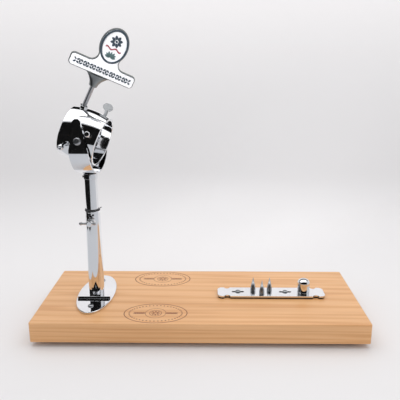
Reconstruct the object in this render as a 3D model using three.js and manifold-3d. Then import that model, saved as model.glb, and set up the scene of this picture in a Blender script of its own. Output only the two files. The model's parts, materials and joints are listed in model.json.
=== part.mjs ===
// Ham holder stand: a wooden board with a telescopic chrome column, a tilting clamp ring in a
// swivelling U cradle, a sign on the clamp handle, and a ham rest bolted to the board.
// Millimetres, +Z up. Origin: under the middle of the board, on the surface the feet stand on.
// +X runs along the board from the column to the ham rest, +Y to the far side.
import * as THREE from 'three';
import { mergeVertices } from 'three/addons/utils/BufferGeometryUtils.js';
import Module from 'manifold-3d';

const wasm = await Module();
wasm.setup();

// ---------------------------------------------------------------- driving dimensions

const CLEARANCE = 0.3;

const BOARD = { length: 600, width: 240, thickness: 37, cornerRadius: 3, edge: 1.5 };
const RUBBER_FOOT = { x: 268, y: 92, height: 9, radius: 12 };
const BOARD_TOP = RUBBER_FOOT.height + BOARD.thickness;

const COLUMN_X = -203;
const FOOT_PLATE = { halfLength: 86, halfWidth: 35.5, thickness: 4, screwY: 59 };
const PLATE_TOP = BOARD_TOP + FOOT_PLATE.thickness;
const CROSSBAR = { y: -24.5, width: 9, height: 5, overhang: 3 };

const LOWER_TUBE = { bottomRadius: 15, topRadius: 14, bore: 12.9, top: 218 };
const BUSH = { bottom: 206, flange: 1.6 };
const UPPER_TUBE = { radius: 11.7, bore: 9.7, bottom: 128, top: 286 };
const COLLAR = { radius: 12.9, bottom: 279 };

const LOCK = { z: 200.6, bossRadius: 6.5, bossEnd: 23, screwRadius: 3.8 };
const LOCK_KNOB = { start: 27, end: 35, radius: 5.5 };
const TOMMY_BAR = { radius: 2, halfLength: 12.5, ballRadius: 3, offset: -3.7 };
const TAB = { z: 212, halfWidth: 6.5, halfHeight: 4, inner: 14.3, outer: 15.5, screwRadius: 1.2 };
const TAB_SCREW_ANGLES = [-14, 14].map(THREE.MathUtils.degToRad);

const HEAD_YAW = 8;
const HEAD_TILT = 19.5;
const PIVOT_Z = 355.5;
const PIVOT = { shank: 3.9, headRadius: 6.5, headHeight: 3.6, washerRadius: 7 };
const CRADLE = { innerRadius: 51.5, thickness: 3, halfWidth: 17.5, bottom: 290, tabTop: 394 };
const CRADLE_CENTRE_Z = CRADLE.bottom + CRADLE.thickness + CRADLE.innerRadius;
const RING = { radius: 50, endRadius: 45.5, wall: 4.5, hoofEnd: -39.5, hamEnd: 28.5 };

const SCREW_SPIKE = { tip: 23, back: 32, pinDepth: 2.5 };
const CLAMP_SCREWS = {
  lower_near: { along: -24, around: 108 },
  lower_far: { along: -24, around: 228 },
  upper_near: { along: 15, around: 72 },
};
const CLAMP_SCREW = { radius: 3, pinRadius: 1.4, headStart: 59, headEnd: 64, headRadius: 5 };
const THUMB_SCREW = { along: 15.5, around: -12, headStart: 55.5, headHeight: 14.5, headWidth: 19 };
const HANDLE = { along: -22, around: 6, lean: 10, turn: 25.7, radius: 4.2, pinRadius: 1.8, bossTop: 53.5 };

const SOCKET = { start: 92.5, bore: 11, halfThickness: 6, neck: 7.5, waist: 9, top: 20 };
const SIGN = { barCentre: 125.8, shift: 4, barLength: 117.6, barHeight: 23, thickness: 5, border: 1.8 };
const MEDALLION = { shift: 2.1, offset: 46.3, halfWidth: 22.8, halfHeight: 30, rimWidth: 3.4, edge: 1.6 };
const HEXAGON = 13;

const REST = { x: 137, y: 2, halfLength: 103.5, halfWidth: 20, plate: 3, pad: 3 };
const REST_SLOTS = [-64, 28];
const REST_SLOT = { halfLength: 12, halfWidth: 2.9 };
const STOP_POST = { along: 64, y: 3, radius: 12, height: 27 };
const SPIKES = { alongs: [-34, -18, -2], stagger: 7, radius: 5, height: 28 };
const REST_TOP = BOARD_TOP + REST.pad + REST.plate;

// How many flats a full turn has: small fasteners, rods, tubes and the clamp ring.
const SMALL = 10;
const ROUND = 12;
const TUBE = 20;
const RING_FLATS = 40;

// ---------------------------------------------------------------- materials

function finish(color, roughness, metalness) {
  return { color, roughness, metalness };
}

const PINE = finish(0xd9a56f, 0.55, 0);
const CHROME = finish(0xd8dade, 0.08, 1);
const STEEL = finish(0x9a9ca0, 0.3, 1);
const DARK_STEEL = finish(0x3a3a3e, 0.4, 1);
const RUBBER = finish(0x1c1c1d, 0.85, 0);
const NYLON = finish(0x202124, 0.5, 0);
const CAST_METAL = finish(0x8c9095, 0.35, 1);
const ENAMEL = finish(0xf1f4f8, 0.25, 0);
const DARK_ENAMEL = finish(0x3b4654, 0.3, 0);

// ---------------------------------------------------------------- geometry helpers

const radians = THREE.MathUtils.degToRad;

// A closed geometry with merged vertices, as a solid that can be joined and cut.
function solid(geometry) {
  const bare = geometry.clone();
  bare.deleteAttribute('normal');
  bare.deleteAttribute('uv');
  const merged = mergeVertices(bare, 1e-4);
  const vertProperties = new Float32Array(merged.attributes.position.array);
  const triVerts = new Uint32Array(merged.index.array);
  return new wasm.Manifold(new wasm.Mesh({ numProp: 3, vertProperties, triVerts }));
}

function fromSolid(manifold) {
  const result = manifold.getMesh();
  const geometry = new THREE.BufferGeometry();
  geometry.setAttribute('position', new THREE.BufferAttribute(result.vertProperties, 3));
  geometry.setIndex(new THREE.BufferAttribute(result.triVerts, 1));
  geometry.computeVertexNormals();
  return geometry;
}

// The first geometry with every tool cut out of it.
function cut(geometry, tools) {
  let body = solid(geometry);
  for (const tool of tools) {
    body = body.subtract(solid(tool));
  }
  return fromSolid(body);
}

function join(geometries) {
  let body = solid(geometries[0]);
  for (const other of geometries.slice(1)) {
    body = body.add(solid(other));
  }
  return fromSolid(body);
}

function common(first, second) {
  return fromSolid(solid(first).intersect(solid(second)));
}

// A turned piece about Z from [radius, z] pairs, listed up the outside and then down the bore.
function turned(profile, segments) {
  const points = profile.map(([radius, z]) => new THREE.Vector2(radius, z));
  return new THREE.LatheGeometry(points, segments).rotateX(Math.PI / 2);
}

// A pin or rod about Z with eased ends.
function rod(radius, bottom, top, segments = ROUND, ease = 0.4) {
  return turned([
    [0, bottom],
    [radius - ease, bottom],
    [radius, bottom + ease],
    [radius, top - ease],
    [radius - ease, top],
    [0, top],
  ], segments);
}

// A plain cylinder about Z, used as a cutting tool.
function drill(radius, bottom, top, segments = ROUND) {
  return turned([[0, bottom], [radius, bottom], [radius, top], [0, top]], segments);
}

// A hollow cylinder about Z with eased rims.
function sleeve(outer, inner, bottom, top, segments, ease = 0.3) {
  return turned([
    [inner, bottom],
    [outer - ease, bottom],
    [outer, bottom + ease],
    [outer, top - ease],
    [outer - ease, top],
    [inner, top],
    [inner, bottom],
  ], segments);
}

// An outline in XY made into a plate from z = bottom to z = top, its edges eased by a bevel.
function plate(shape, bottom, top, ease = 0, curveSegments = 6) {
  const geometry = new THREE.ExtrudeGeometry(shape, {
    depth: top - bottom - 2 * ease,
    bevelEnabled: ease > 0,
    bevelThickness: ease,
    bevelSize: ease,
    bevelOffset: -ease,
    bevelSegments: 1,
    curveSegments,
  });
  return geometry.translate(0, 0, bottom + ease);
}

// The same plate stood up: its outline lies in XZ and it runs from y = front to y = back.
function uprightPlate(shape, front, back, ease = 0, curveSegments = 6) {
  return plate(shape, -back, -front, ease, curveSegments).rotateX(Math.PI / 2);
}

function roundedRectangle(halfWidth, halfHeight, radius, centreX = 0, centreY = 0) {
  const shape = new THREE.Shape();
  const right = centreX + halfWidth;
  const left = centreX - halfWidth;
  const top = centreY + halfHeight;
  const bottom = centreY - halfHeight;
  shape.absarc(right - radius, bottom + radius, radius, -Math.PI / 2, 0);
  shape.absarc(right - radius, top - radius, radius, 0, Math.PI / 2);
  shape.absarc(left + radius, top - radius, radius, Math.PI / 2, Math.PI);
  shape.absarc(left + radius, bottom + radius, radius, Math.PI, 1.5 * Math.PI);
  return shape;
}

function ellipse(halfWidth, halfHeight, centreX = 0, centreY = 0) {
  const shape = new THREE.Shape();
  shape.absellipse(centreX, centreY, halfWidth, halfHeight, 0, 2 * Math.PI);
  return shape;
}

function hexagon(acrossFlats) {
  const shape = new THREE.Shape();
  const corner = acrossFlats / Math.sqrt(3);
  for (let side = 0; side < 6; side += 1) {
    const angle = radians(60 * side);
    shape.lineTo(corner * Math.cos(angle), corner * Math.sin(angle));
  }
  shape.curves.shift();
  return shape;
}

// ---------------------------------------------------------------- scene graph helpers

const stand = new THREE.Group();

function add(parent, name, geometry, look) {
  const mesh = new THREE.Mesh(geometry, new THREE.MeshStandardMaterial(look));
  mesh.name = name;
  parent.add(mesh);
  return mesh;
}

function groupAt(parent, x, y, z) {
  const group = new THREE.Group();
  group.position.set(x, y, z);
  parent.add(group);
  return group;
}

// A pan-head screw pointing down, its head seated at z = seat, with a cross recess.
function panHeadScrew(seat, headRadius, headHeight, shankRadius, shankLength) {
  const body = turned([
    [0, seat - shankLength],
    [shankRadius * 0.5, seat - shankLength],
    [shankRadius, seat - shankLength + 2 * shankRadius],
    [shankRadius, seat],
    [headRadius, seat],
    [headRadius, seat + 0.5 * headHeight],
    [headRadius * 0.7, seat + headHeight],
    [0, seat + headHeight],
  ], SMALL);
  const slotDepth = 0.5 * headHeight;
  const slotZ = seat + headHeight - slotDepth / 2 + 0.5;
  const slots = [0, 1].map((turn) => new THREE.BoxGeometry(headRadius * 1.1, headRadius * 0.22, slotDepth + 1)
    .rotateZ(turn * Math.PI / 2)
    .translate(0, 0, slotZ));
  return cut(body, slots);
}

// ---------------------------------------------------------------- board and feet

const REST_SCREW = { hole: 2.7, radius: 2.4, length: 27, headRadius: 5, headHeight: 3 };
const PLATE_SCREW = { hole: 2.7, radius: 2.4, length: 22, headRadius: 5, headHeight: 3 };
const COLUMN_BOLT = { radius: 4, recessRadius: 9, recessDepth: 8, top: 64 };
const FOOT_SCREW = { radius: 2, length: 16, headRadius: 4, headHeight: 2 };

function buildBoard() {
  const outline = roundedRectangle(BOARD.length / 2, BOARD.width / 2, BOARD.cornerRadius);
  const blank = plate(outline, RUBBER_FOOT.height, BOARD_TOP, BOARD.edge, 2);
  const holes = [];
  for (const slot of REST_SLOTS) {
    const depth = REST_SCREW.length - REST.plate - REST.pad + 2;
    holes.push(drill(REST_SCREW.hole, BOARD_TOP - depth, BOARD_TOP + 1, SMALL)
      .translate(REST.x + slot, REST.y, 0));
  }
  for (const side of [-1, 1]) {
    const depth = PLATE_SCREW.length - FOOT_PLATE.thickness + 2;
    holes.push(drill(PLATE_SCREW.hole, BOARD_TOP - depth, BOARD_TOP + 1, SMALL)
      .translate(COLUMN_X, side * FOOT_PLATE.screwY, 0));
  }
  holes.push(drill(COLUMN_BOLT.recessRadius, BOARD_TOP - COLUMN_BOLT.recessDepth, BOARD_TOP + 1)
    .translate(COLUMN_X, 0, 0));
  for (const [x, y] of footPlaces()) {
    const top = RUBBER_FOOT.height + FOOT_SCREW.length;
    holes.push(drill(FOOT_SCREW.radius + CLEARANCE, RUBBER_FOOT.height - 1, top, SMALL).translate(x, y, 0));
  }
  add(stand, 'base_board', cut(blank, holes), PINE);
}

function footPlaces() {
  const { x, y } = RUBBER_FOOT;
  return [[-x, -y], [x, -y], [-x, y], [x, y]];
}

function buildFeet() {
  const { height, radius } = RUBBER_FOOT;
  const recess = height / 2;
  const footProfile = [
    [FOOT_SCREW.headRadius + 1, 0],
    [radius - 2, 0],
    [radius, height],
    [FOOT_SCREW.radius + CLEARANCE, height],
    [FOOT_SCREW.radius + CLEARANCE, recess],
    [FOOT_SCREW.headRadius + 1, recess],
    [FOOT_SCREW.headRadius + 1, 0],
  ];
  const names = ['front_left', 'front_right', 'back_left', 'back_right'];
  footPlaces().forEach(([x, y], index) => {
    const place = groupAt(stand, x, y, 0);
    add(place, `rubber_foot_${names[index]}`, turned(footProfile, 16), RUBBER);
    const screw = turned([
      [0, recess - FOOT_SCREW.headHeight],
      [FOOT_SCREW.headRadius, recess - FOOT_SCREW.headHeight],
      [FOOT_SCREW.headRadius, recess],
      [FOOT_SCREW.radius, recess],
      [FOOT_SCREW.radius, FOOT_SCREW.length],
      [0, FOOT_SCREW.length + 2],
    ], SMALL);
    add(place, `foot_screw_${names[index]}`, screw, STEEL);
  });
}

// ---------------------------------------------------------------- column

function buildFootPlate() {
  const place = groupAt(stand, COLUMN_X, 0, 0);
  const blank = plate(ellipse(FOOT_PLATE.halfWidth, FOOT_PLATE.halfLength), BOARD_TOP, PLATE_TOP, 0.7, 22);
  const holes = [drill(COLUMN_BOLT.radius + CLEARANCE, BOARD_TOP - 1, PLATE_TOP + 1)];
  for (const side of [-1, 1]) {
    const y = side * FOOT_PLATE.screwY;
    holes.push(drill(PLATE_SCREW.hole, BOARD_TOP - 1, PLATE_TOP + 1, SMALL).translate(0, y, 0));
    const { headRadius, headHeight, radius, length } = PLATE_SCREW;
    const screw = panHeadScrew(PLATE_TOP, headRadius, headHeight, radius, length).translate(0, y, 0);
    add(place, side < 0 ? 'plate_screw_front' : 'plate_screw_back', screw, STEEL);
  }
  add(place, 'foot_plate', cut(blank, holes), CHROME);
  const across = Math.sqrt(1 - (CROSSBAR.y / FOOT_PLATE.halfLength) ** 2) * FOOT_PLATE.halfWidth;
  const halfBar = across - CROSSBAR.overhang;
  const section = new THREE.Shape();
  section.moveTo(-CROSSBAR.width / 2, 0);
  section.lineTo(CROSSBAR.width / 2, 0);
  section.absellipse(0, 0, CROSSBAR.width / 2, CROSSBAR.height, 0, Math.PI);
  const bar = plate(section, -halfBar, halfBar, 0, 5)
    .rotateX(Math.PI / 2)
    .rotateZ(Math.PI / 2)
    .translate(0, CROSSBAR.y, PLATE_TOP);
  add(place, 'foot_crossbar', bar, CHROME);
}

function tabScrewHole(angle) {
  return drill(TAB.screwRadius + CLEARANCE, 10, 20, SMALL).rotateX(Math.PI / 2).rotateZ(angle);
}

function buildLowerTube() {
  const place = groupAt(stand, COLUMN_X, 0, 0);
  const { bottomRadius, topRadius, bore, top } = LOWER_TUBE;
  const tube = turned([
    [bore, PLATE_TOP],
    [bottomRadius, PLATE_TOP],
    [topRadius, top - 1],
    [topRadius - 0.5, top],
    [bore, top],
    [bore, PLATE_TOP],
  ], TUBE);
  const lockHole = drill(LOCK.screwRadius + CLEARANCE, 10, 20).rotateX(Math.PI / 2).translate(0, 0, LOCK.z);
  const tabHoles = TAB_SCREW_ANGLES.map((angle) => tabScrewHole(angle).translate(0, 0, TAB.z));
  add(place, 'lower_tube', cut(tube, [lockHole, ...tabHoles]), CHROME);

  const plug = turned([
    [COLUMN_BOLT.radius + CLEARANCE, PLATE_TOP],
    [bore - CLEARANCE, PLATE_TOP],
    [bore - CLEARANCE, COLUMN_BOLT.top + 4],
    [COLUMN_BOLT.radius + CLEARANCE, COLUMN_BOLT.top + 4],
    [COLUMN_BOLT.radius + CLEARANCE, PLATE_TOP],
  ], TUBE);
  add(place, 'column_plug', plug, STEEL);

  const headBottom = BOARD_TOP - COLUMN_BOLT.recessDepth + 1;
  const boltHead = plate(hexagon(HEXAGON), headBottom, BOARD_TOP - CLEARANCE);
  const boltShank = rod(COLUMN_BOLT.radius, headBottom + 1, COLUMN_BOLT.top);
  add(place, 'column_bolt', join([boltHead, boltShank]), STEEL);

  const inner = UPPER_TUBE.radius + CLEARANCE;
  const outer = bore - CLEARANCE;
  const bush = turned([
    [inner, BUSH.bottom],
    [outer, BUSH.bottom],
    [outer, top],
    [topRadius, top],
    [topRadius, top + BUSH.flange],
    [inner, top + BUSH.flange],
    [inner, BUSH.bottom],
  ], TUBE);
  add(place, 'guide_bush', bush, NYLON);
}

// A wire clip that lies on the bush round the upper tube, its tail sticking out to the right.
function buildWireClip() {
  const wireRadius = 0.8;
  const clipRadius = UPPER_TUBE.radius + CLEARANCE + wireRadius + 0.2;
  const points = [];
  const arcSteps = 14;
  for (let step = 0; step <= arcSteps; step += 1) {
    const angle = radians(10 - 300 * (step / arcSteps));
    points.push(new THREE.Vector3(clipRadius * Math.cos(angle), clipRadius * Math.sin(angle), 0));
  }
  points.reverse();
  points.push(new THREE.Vector3(clipRadius + 0.6, clipRadius * 0.5, 0.8));
  points.push(new THREE.Vector3(clipRadius + 3, clipRadius * 0.4, 1.4));
  const path = new THREE.CatmullRomCurve3(points);
  const section = ellipse(wireRadius, wireRadius);
  const wire = new THREE.ExtrudeGeometry(section, { steps: 30, extrudePath: path, curveSegments: 3 });
  const z = LOWER_TUBE.top + BUSH.flange + wireRadius + 0.1;
  add(stand, 'wire_clip', wire.translate(COLUMN_X, 0, z), DARK_STEEL);
}

// Height lock: a boss on the front of the lower tube, a screw through it with a sliding bar, the
// shoe that it presses on the upper tube, and a small keeper tab above it.
function buildHeightLock() {
  const place = groupAt(stand, COLUMN_X, 0, LOCK.z);
  const front = groupAt(place, 0, 0, 0);
  front.rotation.x = Math.PI / 2;
  const { bossRadius, bossEnd, screwRadius } = LOCK;
  const boss = sleeve(bossRadius, screwRadius + CLEARANCE, 10, bossEnd, 16, 0.8);
  const tubeSpace = drill(LOWER_TUBE.topRadius + 0.55, -20, 20, TUBE).rotateX(Math.PI / 2);
  add(front, 'lock_boss', cut(boss, [tubeSpace]), CHROME);

  const shoeBack = UPPER_TUBE.radius + 1.8;
  const shoe = rod(screwRadius - 0.1, UPPER_TUBE.radius + CLEARANCE, shoeBack, ROUND, 0.2);
  add(front, 'lock_shoe', shoe, NYLON);

  const { start, end, radius } = LOCK_KNOB;
  const screw = turned([
    [0, shoeBack + CLEARANCE],
    [screwRadius, shoeBack + CLEARANCE],
    [screwRadius, start],
    [radius - 1, start],
    [radius, start + 1],
    [radius, end - 1.5],
    [radius - 1.5, end],
    [0, end],
  ], 16);
  const barZ = (start + end) / 2;
  const barHole = drill(TOMMY_BAR.radius + CLEARANCE, -20, 20, SMALL)
    .rotateY(Math.PI / 2)
    .translate(0, 0, barZ);
  add(front, 'lock_screw', cut(screw, [barHole]), CHROME);

  const { halfLength, ballRadius, offset } = TOMMY_BAR;
  const ball = (side) => new THREE.SphereGeometry(ballRadius, 10, 6).translate(side * halfLength, 0, 0);
  const shaft = drill(TOMMY_BAR.radius, -halfLength, halfLength, SMALL).rotateY(Math.PI / 2);
  const bar = join([shaft, ball(-1), ball(1)]).translate(offset, 0, barZ);
  add(front, 'tommy_bar', bar, STEEL);

  const tabPlace = groupAt(stand, COLUMN_X, 0, TAB.z);
  const shell = sleeve(TAB.outer, TAB.inner, -TAB.halfHeight, TAB.halfHeight, 32, 0.2);
  const window = new THREE.BoxGeometry(2 * TAB.halfWidth, 20, 20).translate(0, -15, 0);
  const screwHoles = TAB_SCREW_ANGLES.map((angle) => tabScrewHole(angle));
  const tab = cut(common(shell, window), screwHoles);
  add(tabPlace, 'keeper_tab', tab, CHROME);
  TAB_SCREW_ANGLES.forEach((angle, index) => {
    const screw = panHeadScrew(TAB.outer + 0.1, 2, 1.2, TAB.screwRadius, 3)
      .rotateX(Math.PI / 2)
      .rotateZ(angle);
    add(tabPlace, index === 0 ? 'tab_screw_left' : 'tab_screw_right', screw, DARK_STEEL);
  });
}

const CRADLE_BOLT = { radius: 4, length: 20, headRadius: 7, headHeight: 3.6 };
const WASHER = 1;

function buildUpperColumn() {
  const place = groupAt(stand, COLUMN_X, 0, 0);
  const { radius, bore, bottom, top } = UPPER_TUBE;
  add(place, 'upper_tube', sleeve(radius, bore, bottom, top, TUBE, 0.4), CHROME);

  const seat = CRADLE.bottom - WASHER - 0.2;
  const plug = turned([
    [CRADLE_BOLT.radius + CLEARANCE, top - 18],
    [bore - CLEARANCE, top - 18],
    [bore - CLEARANCE, top + CLEARANCE],
    [radius, top + CLEARANCE],
    [radius, seat],
    [CRADLE_BOLT.radius + CLEARANCE, seat],
    [CRADLE_BOLT.radius + CLEARANCE, top - 18],
  ], TUBE);
  add(place, 'tube_top_plug', plug, STEEL);

  const setScrewZ = COLLAR.bottom + 3.5;
  const collar = sleeve(COLLAR.radius, radius + CLEARANCE, COLLAR.bottom, seat, TUBE, 0.3);
  const setScrewHole = drill(2.3, 8, 20, SMALL).rotateY(-Math.PI / 2).translate(0, 0, setScrewZ);
  add(place, 'top_collar', cut(collar, [setScrewHole]), CHROME);
  const setScrew = rod(2, radius + CLEARANCE, COLLAR.radius + 2, SMALL, 0.3)
    .rotateY(-Math.PI / 2)
    .translate(0, 0, setScrewZ);
  add(place, 'collar_set_screw', setScrew, DARK_STEEL);
}

// ---------------------------------------------------------------- head

const swivel = groupAt(stand, COLUMN_X, 0, 0);
swivel.rotation.z = -radians(HEAD_YAW);
const head = groupAt(swivel, 0, 0, PIVOT_Z);
head.rotation.y = radians(HEAD_TILT);

// The band bent into a U: two straight arms on a half circle, cut to the arms' tapering outline.
function buildCradle() {
  const inner = CRADLE.innerRadius;
  const outer = inner + CRADLE.thickness;
  const { tabTop, halfWidth } = CRADLE;
  const section = new THREE.Shape();
  section.moveTo(outer, tabTop);
  section.lineTo(inner, tabTop);
  section.absarc(0, CRADLE_CENTRE_Z, inner, 0, Math.PI, true);
  section.lineTo(-inner, tabTop);
  section.lineTo(-outer, tabTop);
  section.absarc(0, CRADLE_CENTRE_Z, outer, Math.PI, 2 * Math.PI);
  const band = uprightPlate(section, -halfWidth, halfWidth, 0, 12).rotateZ(Math.PI / 2);

  const tabRadius = 8;
  const taperStart = CRADLE_CENTRE_Z - 6;
  const outline = new THREE.Shape();
  outline.moveTo(-halfWidth, CRADLE.bottom - 5);
  outline.lineTo(halfWidth, CRADLE.bottom - 5);
  outline.lineTo(halfWidth, taperStart);
  outline.quadraticCurveTo(tabRadius + 1, PIVOT_Z + 12, tabRadius, tabTop - tabRadius);
  outline.absarc(0, tabTop - tabRadius, tabRadius, 0, Math.PI);
  outline.quadraticCurveTo(-tabRadius - 1, PIVOT_Z + 12, -halfWidth, taperStart);
  const trimmed = common(band, uprightPlate(outline, -outer - 5, outer + 5, 0, 5));

  const pivotHole = drill(PIVOT.shank + 0.4, -outer - 5, outer + 5)
    .rotateX(Math.PI / 2)
    .translate(0, 0, PIVOT_Z);
  const boltHole = drill(CRADLE_BOLT.radius + CLEARANCE, CRADLE.bottom - 5, CRADLE.bottom + 10);
  add(swivel, 'cradle', cut(trimmed, [pivotHole, boltHole]), CHROME);

  const washerTop = CRADLE.bottom - 0.1;
  const washer = sleeve(10.5, CRADLE_BOLT.radius + CLEARANCE, washerTop - WASHER, washerTop, 16, 0.2);
  add(swivel, 'swivel_washer', washer, NYLON);

  const bowl = CRADLE.innerRadius - Math.sqrt(CRADLE.innerRadius ** 2 - CRADLE_BOLT.headRadius ** 2);
  const floor = CRADLE.bottom + CRADLE.thickness + bowl + CLEARANCE;
  const { headRadius, headHeight, radius, length } = CRADLE_BOLT;
  add(swivel, 'cradle_bolt', panHeadScrew(floor, headRadius, headHeight, radius, length), STEEL);

  const outerRing = RING.radius + CLEARANCE;
  for (const [name, direction] of [['near', 1], ['far', -1]]) {
    const side = groupAt(swivel, 0, 0, PIVOT_Z);
    side.rotation.x = direction * Math.PI / 2;
    const pivotWasher = sleeve(PIVOT.washerRadius, PIVOT.shank + CLEARANCE, outerRing, inner - 0.3, 16, 0.2);
    add(side, `pivot_washer_${name}`, pivotWasher, NYLON);
    const headSide = groupAt(head, 0, 0, 0);
    headSide.rotation.x = direction * Math.PI / 2;
    const screwLength = outer + 0.3 - (RING.radius - RING.wall) - 0.2;
    const screw = panHeadScrew(outer + 0.3, PIVOT.headRadius, PIVOT.headHeight, PIVOT.shank, screwLength);
    add(headSide, `pivot_screw_${name}`, screw, STEEL);
  }
}

// Puts a group on the ring: its Z points outwards at an angle round the ring and a place along it.
// A screw that leans does so towards the ham, about the point where it leaves the ring.
function radialGroup({ along, around, lean = 0 }) {
  const upright = groupAt(head, along, 0, 0);
  upright.rotation.x = radians(around);
  const leaning = groupAt(upright, 0, 0, RING.radius);
  leaning.rotation.y = radians(lean);
  return groupAt(leaning, 0, 0, -RING.radius);
}

function radialHole({ along, around, lean = 0 }, radius) {
  return drill(radius, -15, 10, SMALL)
    .rotateY(radians(lean))
    .translate(0, 0, RING.radius)
    .rotateX(radians(around))
    .translate(along, 0, 0);
}

// The ring's domed wall as a turned solid about X, everywhere moved outwards by an offset.
function ringSolid(innerOffset, outerOffset) {
  const { radius, endRadius, hoofEnd, hamEnd } = RING;
  const middle = (hoofEnd + hamEnd) / 2;
  const half = (hamEnd - hoofEnd) / 2;
  const steps = [-1, -0.95, -0.5, 0, 0.5, 0.95, 1];
  const dome = (step) => radius - (radius - endRadius) * step ** 2;
  const outside = steps.map((step) => {
    const rim = Math.abs(step) === 1 ? 0.8 : 0;
    return [dome(step) - rim + outerOffset, middle + half * step];
  });
  const inside = [1, 0.5, 0, -0.5, -1].map((step) => [dome(step) + innerOffset, middle + half * step]);
  return turned([...outside, ...inside, outside[0]], RING_FLATS).rotateY(Math.PI / 2);
}

function buildRing() {
  const ring = ringSolid(-RING.wall, 0);
  const holes = Object.values(CLAMP_SCREWS).map((place) => radialHole(place, CLAMP_SCREW.radius + CLEARANCE));
  holes.push(radialHole(THUMB_SCREW, CLAMP_SCREW.radius + CLEARANCE));
  holes.push(radialHole(HANDLE, HANDLE.radius + CLEARANCE));
  for (const around of [90, -90]) {
    holes.push(radialHole({ along: 0, around }, PIVOT.shank + CLEARANCE));
  }
  add(head, 'head_ring', cut(ring, holes), CHROME);
}

// The hardened point on the inner end of a clamp screw. It is bored for the screw's pin and
// doesn't turn with the screw.
function addSpike(place, name, radius, pinRadius) {
  const { tip, back, pinDepth } = SCREW_SPIKE;
  const bore = pinRadius + CLEARANCE;
  const spike = turned([
    [0, tip],
    [radius, back - 3],
    [radius, back],
    [bore, back],
    [bore, back - pinDepth - CLEARANCE],
    [0, back - pinDepth - CLEARANCE],
  ], SMALL);
  add(place, name, spike, STEEL);
}

// The section of a clamp screw's inner end: the pin in the spike, then the shank.
function screwEnd(radius, pinRadius) {
  const { back, pinDepth } = SCREW_SPIKE;
  return [
    [0, back - pinDepth],
    [pinRadius, back - pinDepth],
    [pinRadius, back + CLEARANCE],
    [radius, back + CLEARANCE],
  ];
}

function buildClampScrews() {
  const { radius, pinRadius, headStart: seat, headEnd, headRadius } = CLAMP_SCREW;
  for (const [name, where] of Object.entries(CLAMP_SCREWS)) {
    const place = radialGroup(where);
    addSpike(place, `spike_${name}`, 3.6, pinRadius);
    const screw = turned([
      ...screwEnd(radius, pinRadius),
      [radius, seat],
      [headRadius, seat],
      [headRadius, headEnd],
      [headRadius * 0.8, headEnd + 1.6],
      [0, headEnd + 1.6],
    ], ROUND);
    add(place, `clamp_screw_${name}`, screw, CHROME);
  }
  const place = radialGroup(THUMB_SCREW);
  addSpike(place, 'spike_upper_far', 3.6, pinRadius);
  const { headStart, headHeight, headWidth } = THUMB_SCREW;
  const shank = turned([...screwEnd(radius, pinRadius), [radius, headStart + 3], [0, headStart + 3]], SMALL);
  const wingOutline = ellipse(headWidth / 2, headHeight / 2, 0, headStart + headHeight / 2);
  const wing = uprightPlate(wingOutline, -1.5, 1.5, 0.4, 10);
  add(place, 'thumb_screw_upper_far', join([shank, wing]), CHROME);
}

// ---------------------------------------------------------------- handle and sign

// The sign's outline, drawn in the sign's own plane with the bar's centre at (0, 0) and every edge
// moved inwards by inset: a bar with round ends, an oval above it, and a neck with hollow sides.
function signBody(front, back, inset, ease) {
  const halfBar = SIGN.barLength / 2 - inset;
  const halfHeight = SIGN.barHeight / 2 - inset;
  const { shift, offset, edge } = MEDALLION;
  const ovalWidth = MEDALLION.halfWidth + edge - inset;
  const ovalHeight = MEDALLION.halfHeight + edge - inset;
  const filletRadius = 12 + inset;
  const filletX = 33;
  const filletZ = halfHeight + filletRadius;
  const bar = uprightPlate(roundedRectangle(halfBar, halfHeight, 7 - inset), front, back, ease, 3);
  const oval = uprightPlate(ellipse(ovalWidth, ovalHeight, shift, offset), front, back, ease, 18);
  const neckHeight = filletZ + filletRadius * 0.6;
  const neckShape = roundedRectangle(filletX, neckHeight / 2, 0.01, shift, neckHeight / 2);
  const neck = uprightPlate(neckShape, front, back, 0, 1);
  const fillets = [-1, 1].map((side) => {
    const circle = ellipse(filletRadius, filletRadius, shift + side * filletX, filletZ);
    return uprightPlate(circle, front - 2, back + 2, 0, 12);
  });
  return join([bar, oval, cut(neck, fillets)]);
}

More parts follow.
